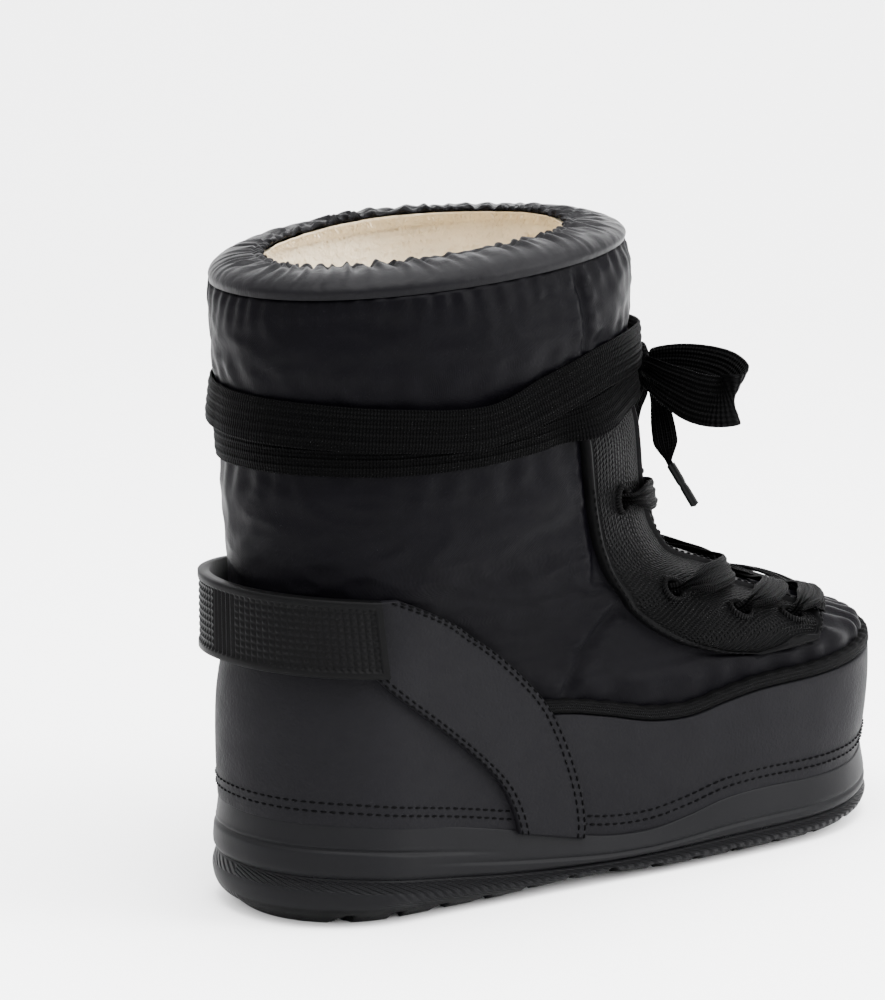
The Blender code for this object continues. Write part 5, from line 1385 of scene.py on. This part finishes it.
INNER_END = ((0.1364, -0.0085, 0.1836), (0.1368, -0.0070, 0.1780), (0.1385, -0.0010, 0.1710),
             (0.1408, 0.0050, 0.1630), (0.1423, 0.0095, 0.1550), (0.1435, 0.0130, 0.1460),
             (0.1450, 0.0150, 0.1375))
INNER_TIP = (0.1500, 0.0190, 0.1200)


def smooth_route(route, count):
    """Points evenly along a smooth curve through the places of a route."""
    knots = [Vector(place) for place in route]
    points = []
    for step in range(count):
        place = step / (count - 1) * (len(knots) - 1)
        low = min(int(place), len(knots) - 2)
        u = place - low
        before, start = knots[max(low - 1, 0)], knots[low]
        end, after = knots[low + 1], knots[min(low + 2, len(knots) - 1)]
        points.append(0.5 * (2.0 * start + (end - before) * u
                             + (2.0 * before - 5.0 * start + 4.0 * end - after) * u ** 2
                             + (3.0 * start - before - 3.0 * end + after) * u ** 3))
    return np.array(points)


def route_length(path):
    """Length of a path from end to end."""
    return float(np.linalg.norm(np.diff(path, axis=0), axis=-1).sum())


LOOP_WIDTH, LOOP_TILT, LACE_END_WIDTH, LACE_END_THICKNESS = 0.0205, 0.55, 0.0095, 0.0012
AGLET_WIDTH, AGLET_THICKNESS, AGLET_LENGTH, AGLET_GAP = 0.0034, 0.0024, 0.0190, 0.0007
LOOP_POINTS, END_POINTS, CORE_POINTS = 150, 90, 24
AGLET_FACING = np.array([0.8, -0.6, 0.0])
for word, route in (("outer", OUTER_LOOP), ("inner", INNER_LOOP)):
    path = smooth_route(route, LOOP_POINTS)
    share = np.linspace(0.0, 1.0, LOOP_POINTS)
    spread = np.sin(math.pi * share).clip(0.0) ** 0.7
    widths = LACE_WIDTH * 0.62 + (LOOP_WIDTH - LACE_WIDTH * 0.62) * spread
    wide = np.stack([LOOP_TILT * spread, np.zeros(LOOP_POINTS), np.ones(LOOP_POINTS)], -1)
    loop = ribbon("bow_loop_" + word, path, widths, wide, LACE_THICKNESS * 0.75,
                  0.0006 * (1.0 - spread) ** 2)
    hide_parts("lace_loop_" + word)
    print(loop.name, "is", round(route_length(path) * 1000), "mm long")

plastic = Finish("moulded_tip", (0.0012, 0.0012, 0.0013), 0.35, 0.10, 200.0, gloss=0.08)
plastic.bump(plastic.noise(900.0, 2.0), 0.0001, 0.3)
for word, route, tip in (("outer", OUTER_END, OUTER_TIP), ("inner", INNER_END, INNER_TIP)):
    ahead = np.array((Vector(tip) - Vector(route[-1])).normalized())
    whole = smooth_route(route, END_POINTS)
    core = [whole[-1] + ahead * AGLET_LENGTH * step / CORE_POINTS for step in range(1, CORE_POINTS + 1)]
    path = np.concatenate([whole, core])
    share = np.concatenate([np.linspace(0.0, 1.0, END_POINTS), np.full(CORE_POINTS, 1.0)])
    widths = LACE_END_WIDTH + (AGLET_WIDTH * 0.7 - LACE_END_WIDTH) * step_up(share, 0.8, 1.0)
    turning = step_up(share, 0.35, 0.9)[:, None]
    wide = np.array([0.0, -1.0, 0.0]) * (1.0 - turning) + AGLET_FACING * turning
    end_piece = ribbon("bow_end_" + word, path, widths, wide, LACE_END_THICKNESS,
                       0.0005 * step_up(0.15 - share, 0.0, 0.15))
    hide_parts("lace_end_" + word)
    tip_rows = []
    side = unit(AGLET_FACING - ahead * (AGLET_FACING @ ahead))
    thin = np.cross(ahead, side)
    for angle in np.linspace(0.0, 2.0 * math.pi, 29):
        row = []
        for run in np.linspace(0.0, 1.0, 30):
            end_round_off = math.sqrt(max(0.0, 1.0 - max(0.0, abs(run - 0.5) * 2.0 - 0.94) ** 2 / 0.0036))
            waist = 1.0 - 0.16 * math.exp(-((run - 0.5) / 0.05) ** 2)
            two = 1.0 - 0.35 * math.exp(-(math.cos(angle) / 0.25) ** 2)
            place = whole[-1] + ahead * (AGLET_GAP + AGLET_LENGTH * run)
            row.append(place + side * math.cos(angle) * 0.5 * AGLET_WIDTH * end_round_off * waist
                       + thin * math.sin(angle) * 0.5 * AGLET_THICKNESS * end_round_off * waist * two)
        tip_rows.append(row)
    aglet = grid_piece("bow_tip_" + word, np.array(tip_rows), plastic.material)
    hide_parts("aglet_" + word)
    print(end_piece.name, "is", round(route_length(path) * 1000), "mm long")

# %% Form the knot
KNOT_WIDE, KNOT_DEEP, KNOT_TALL = 0.0060, 0.0042, 0.0068
knot_turns = np.linspace(0.0, 2.0 * math.pi, 160, endpoint=False)
knot_rows = []
for share in np.linspace(-1.0, 1.0, 40):
    roll = math.sqrt(max(0.0, 1.0 - abs(share) ** 2.6))
    ridge = 1.0 + 0.05 * math.cos(share * math.pi * 5.0)
    fold = 1.0 + 0.05 * np.sin(knot_turns * 3.0 + share * 2.0)
    row = np.stack([KNOT_PLACE[0] + np.cos(knot_turns) * KNOT_DEEP * roll * ridge * fold,
                    np.full(160, KNOT_PLACE[1] + share * KNOT_WIDE),
                    KNOT_PLACE[2] + np.sin(knot_turns) * KNOT_TALL * roll * ridge * fold], -1)
    knot_rows.append(row)
knot = grid_piece("bow_knot", np.array(knot_rows), lace_finish.material, closed=True)
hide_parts("lace_knot")

# %% [markdown]
# ## Stitches
#
# Double rows of thick black thread hold the leather panels and the eyestays. Each stitch is
# a short rounded bar that dips into the surface at both ends. Thousands of them are one mesh,
# because separate objects would be slow, and a bump alone would have no shadow of its own.

# %% Sew the panels
STITCH_PITCH, STITCH_LENGTH, THREAD = 0.0034, 0.0026, 0.0008
STITCH_RINGS, STITCH_CORNERS = 5, 6
STITCH_SINKS, STITCH_WIDTHS = (-0.35, 0.15, 0.25, 0.15, -0.35), (0.5, 0.95, 1.0, 0.95, 0.5)


def sew(runs):
    """Points and faces of a row of stitches along each line, over the surface's normals."""
    points, faces = [], []
    for line, normals in runs:
        run = lengths(line)
        for start in np.arange(0.002, run[-1] - 0.004, STITCH_PITCH):
            at = np.array([start + STITCH_LENGTH * share for share in (0.0, 0.25, 0.5, 0.75, 1.0)])
            path = np.stack([np.interp(at, run, line[:, k]) for k in range(3)], -1)
            normal = unit(np.stack([np.interp(at[2], run, normals[:, k]) for k in range(3)], -1))
            ahead = unit(path[-1] - path[0])
            side = np.cross(normal, ahead)
            base_index = len(points)
            for place, sink, width in zip(path, STITCH_SINKS, STITCH_WIDTHS):
                for angle in range(STITCH_CORNERS):
                    turn = math.pi * angle / 3.0
                    reach = side * math.cos(turn) + normal * math.sin(turn)
                    points.append(place + normal * THREAD * sink + reach * 0.5 * THREAD * width)
            for ring in range(STITCH_RINGS - 1):
                low = base_index + ring * STITCH_CORNERS
                for angle in range(STITCH_CORNERS):
                    beside = (angle + 1) % STITCH_CORNERS
                    faces.append((low + angle, low + beside, low + STITCH_CORNERS + beside,
                                  low + STITCH_CORNERS + angle))
    return points, faces


thread = Finish("black_thread", (0.0005, 0.0005, 0.0006), 0.60, 0.10, 100.0, gloss=0.02)
points, faces = sew(stitch_runs)
mesh_piece("panel_stitching", [tuple(point) for point in points], faces, thread.material)
print("sewed", len(points) // (STITCH_RINGS * STITCH_CORNERS), "stitches")

# %% [markdown]
# ## Floor and light
#
# The photograph is a plain product shot: a pale sweep, broad soft light from above and both
# sides, and a faint contact shadow. A big curved floor keeps the horizon out of the picture.
# Large area lamps give satin cloth its long soft highlights, and the world fills the rest. It
# is brighter overhead than at the horizon, so faces that look up are lighter than the sides.

# %% Build the studio
HORIZON_LIGHT, OVERHEAD_LIGHT = 1.9, 4.8
white = bpy.data.materials.new("pale_floor")
white.use_nodes = True
white_shader = white.node_tree.nodes["Principled BSDF"]
white_shader.inputs["Base Color"].default_value = (0.86, 0.86, 0.865, 1.0)
white_shader.inputs["Roughness"].default_value = 0.75
sweep, sweep_faces = [], []
profile = [(-3.0, 0.0), (1.2, 0.0)] + [(1.2 + 1.0 * math.sin(a), 1.0 - 1.0 * math.cos(a))
                                       for a in np.linspace(0.08, math.pi / 2, 16)] + [(2.2, 4.0)]
view_away = Vector((-math.sin(AZIMUTH), math.cos(AZIMUTH), 0.0))
view_side = Vector((math.cos(AZIMUTH), math.sin(AZIMUTH), 0.0))
for depth_away, height in profile:
    for reach in (-4.0, 4.0):
        sweep.append(view_away * depth_away + view_side * reach + Vector((0.0, 0.0, height)))
for index in range(len(profile) - 1):
    sweep_faces.append((2 * index, 2 * index + 1, 2 * index + 3, 2 * index + 2))
floor_mesh = bpy.data.meshes.new("studio_floor")
floor_mesh.from_pydata(sweep, [], sweep_faces)
floor_mesh.materials.append(white)
floor_mesh.shade_smooth()
floor = bpy.data.objects.new("studio_floor", floor_mesh)
bpy.context.scene.collection.objects.link(floor)

world = bpy.data.worlds.new("studio")
bpy.context.scene.world = world
world.use_nodes = True
sky = world.node_tree
direction = sky.nodes.new("ShaderNodeTexCoord")
parts = sky.nodes.new("ShaderNodeSeparateXYZ")
sky.links.new(direction.outputs["Generated"], parts.inputs[0])
fade = sky.nodes.new("ShaderNodeMapRange")
fade.inputs["From Min"].default_value, fade.inputs["From Max"].default_value = 0.0, 0.8
fade.inputs["To Min"].default_value, fade.inputs["To Max"].default_value = HORIZON_LIGHT, OVERHEAD_LIGHT
sky.links.new(parts.outputs[2], fade.inputs["Value"])
sky.links.new(fade.outputs[0], sky.nodes["Background"].inputs["Strength"])
sky.nodes["Background"].inputs["Color"].default_value = (1.0, 1.0, 1.0, 1.0)


def lamp(name, place, target, size, power):
    """A rectangular area lamp at a place, turned to its target."""
    data = bpy.data.lights.new(name, "AREA")
    data.shape = "RECTANGLE"
    data.size, data.size_y = size
    data.energy = power
    light = bpy.data.objects.new(name, data)
    light.location = place
    light.rotation_euler = (Vector(target) - Vector(place)).to_track_quat("-Z", "Y").to_euler()
    bpy.context.scene.collection.objects.link(light)
    print(name, "at", place, "with", power, "W")


lamp("top_light", (0.10, -0.30, 1.90), (0.08, 0.0, 0.10), (1.6, 1.6), 130.0)
lamp("left_light", (-1.50, -0.70, 0.90), (0.05, 0.0, 0.12), (0.9, 1.4), 5.0)
lamp("right_light", (1.20, -1.30, 0.95), (0.10, 0.0, 0.12), (0.8, 1.4), 75.0)
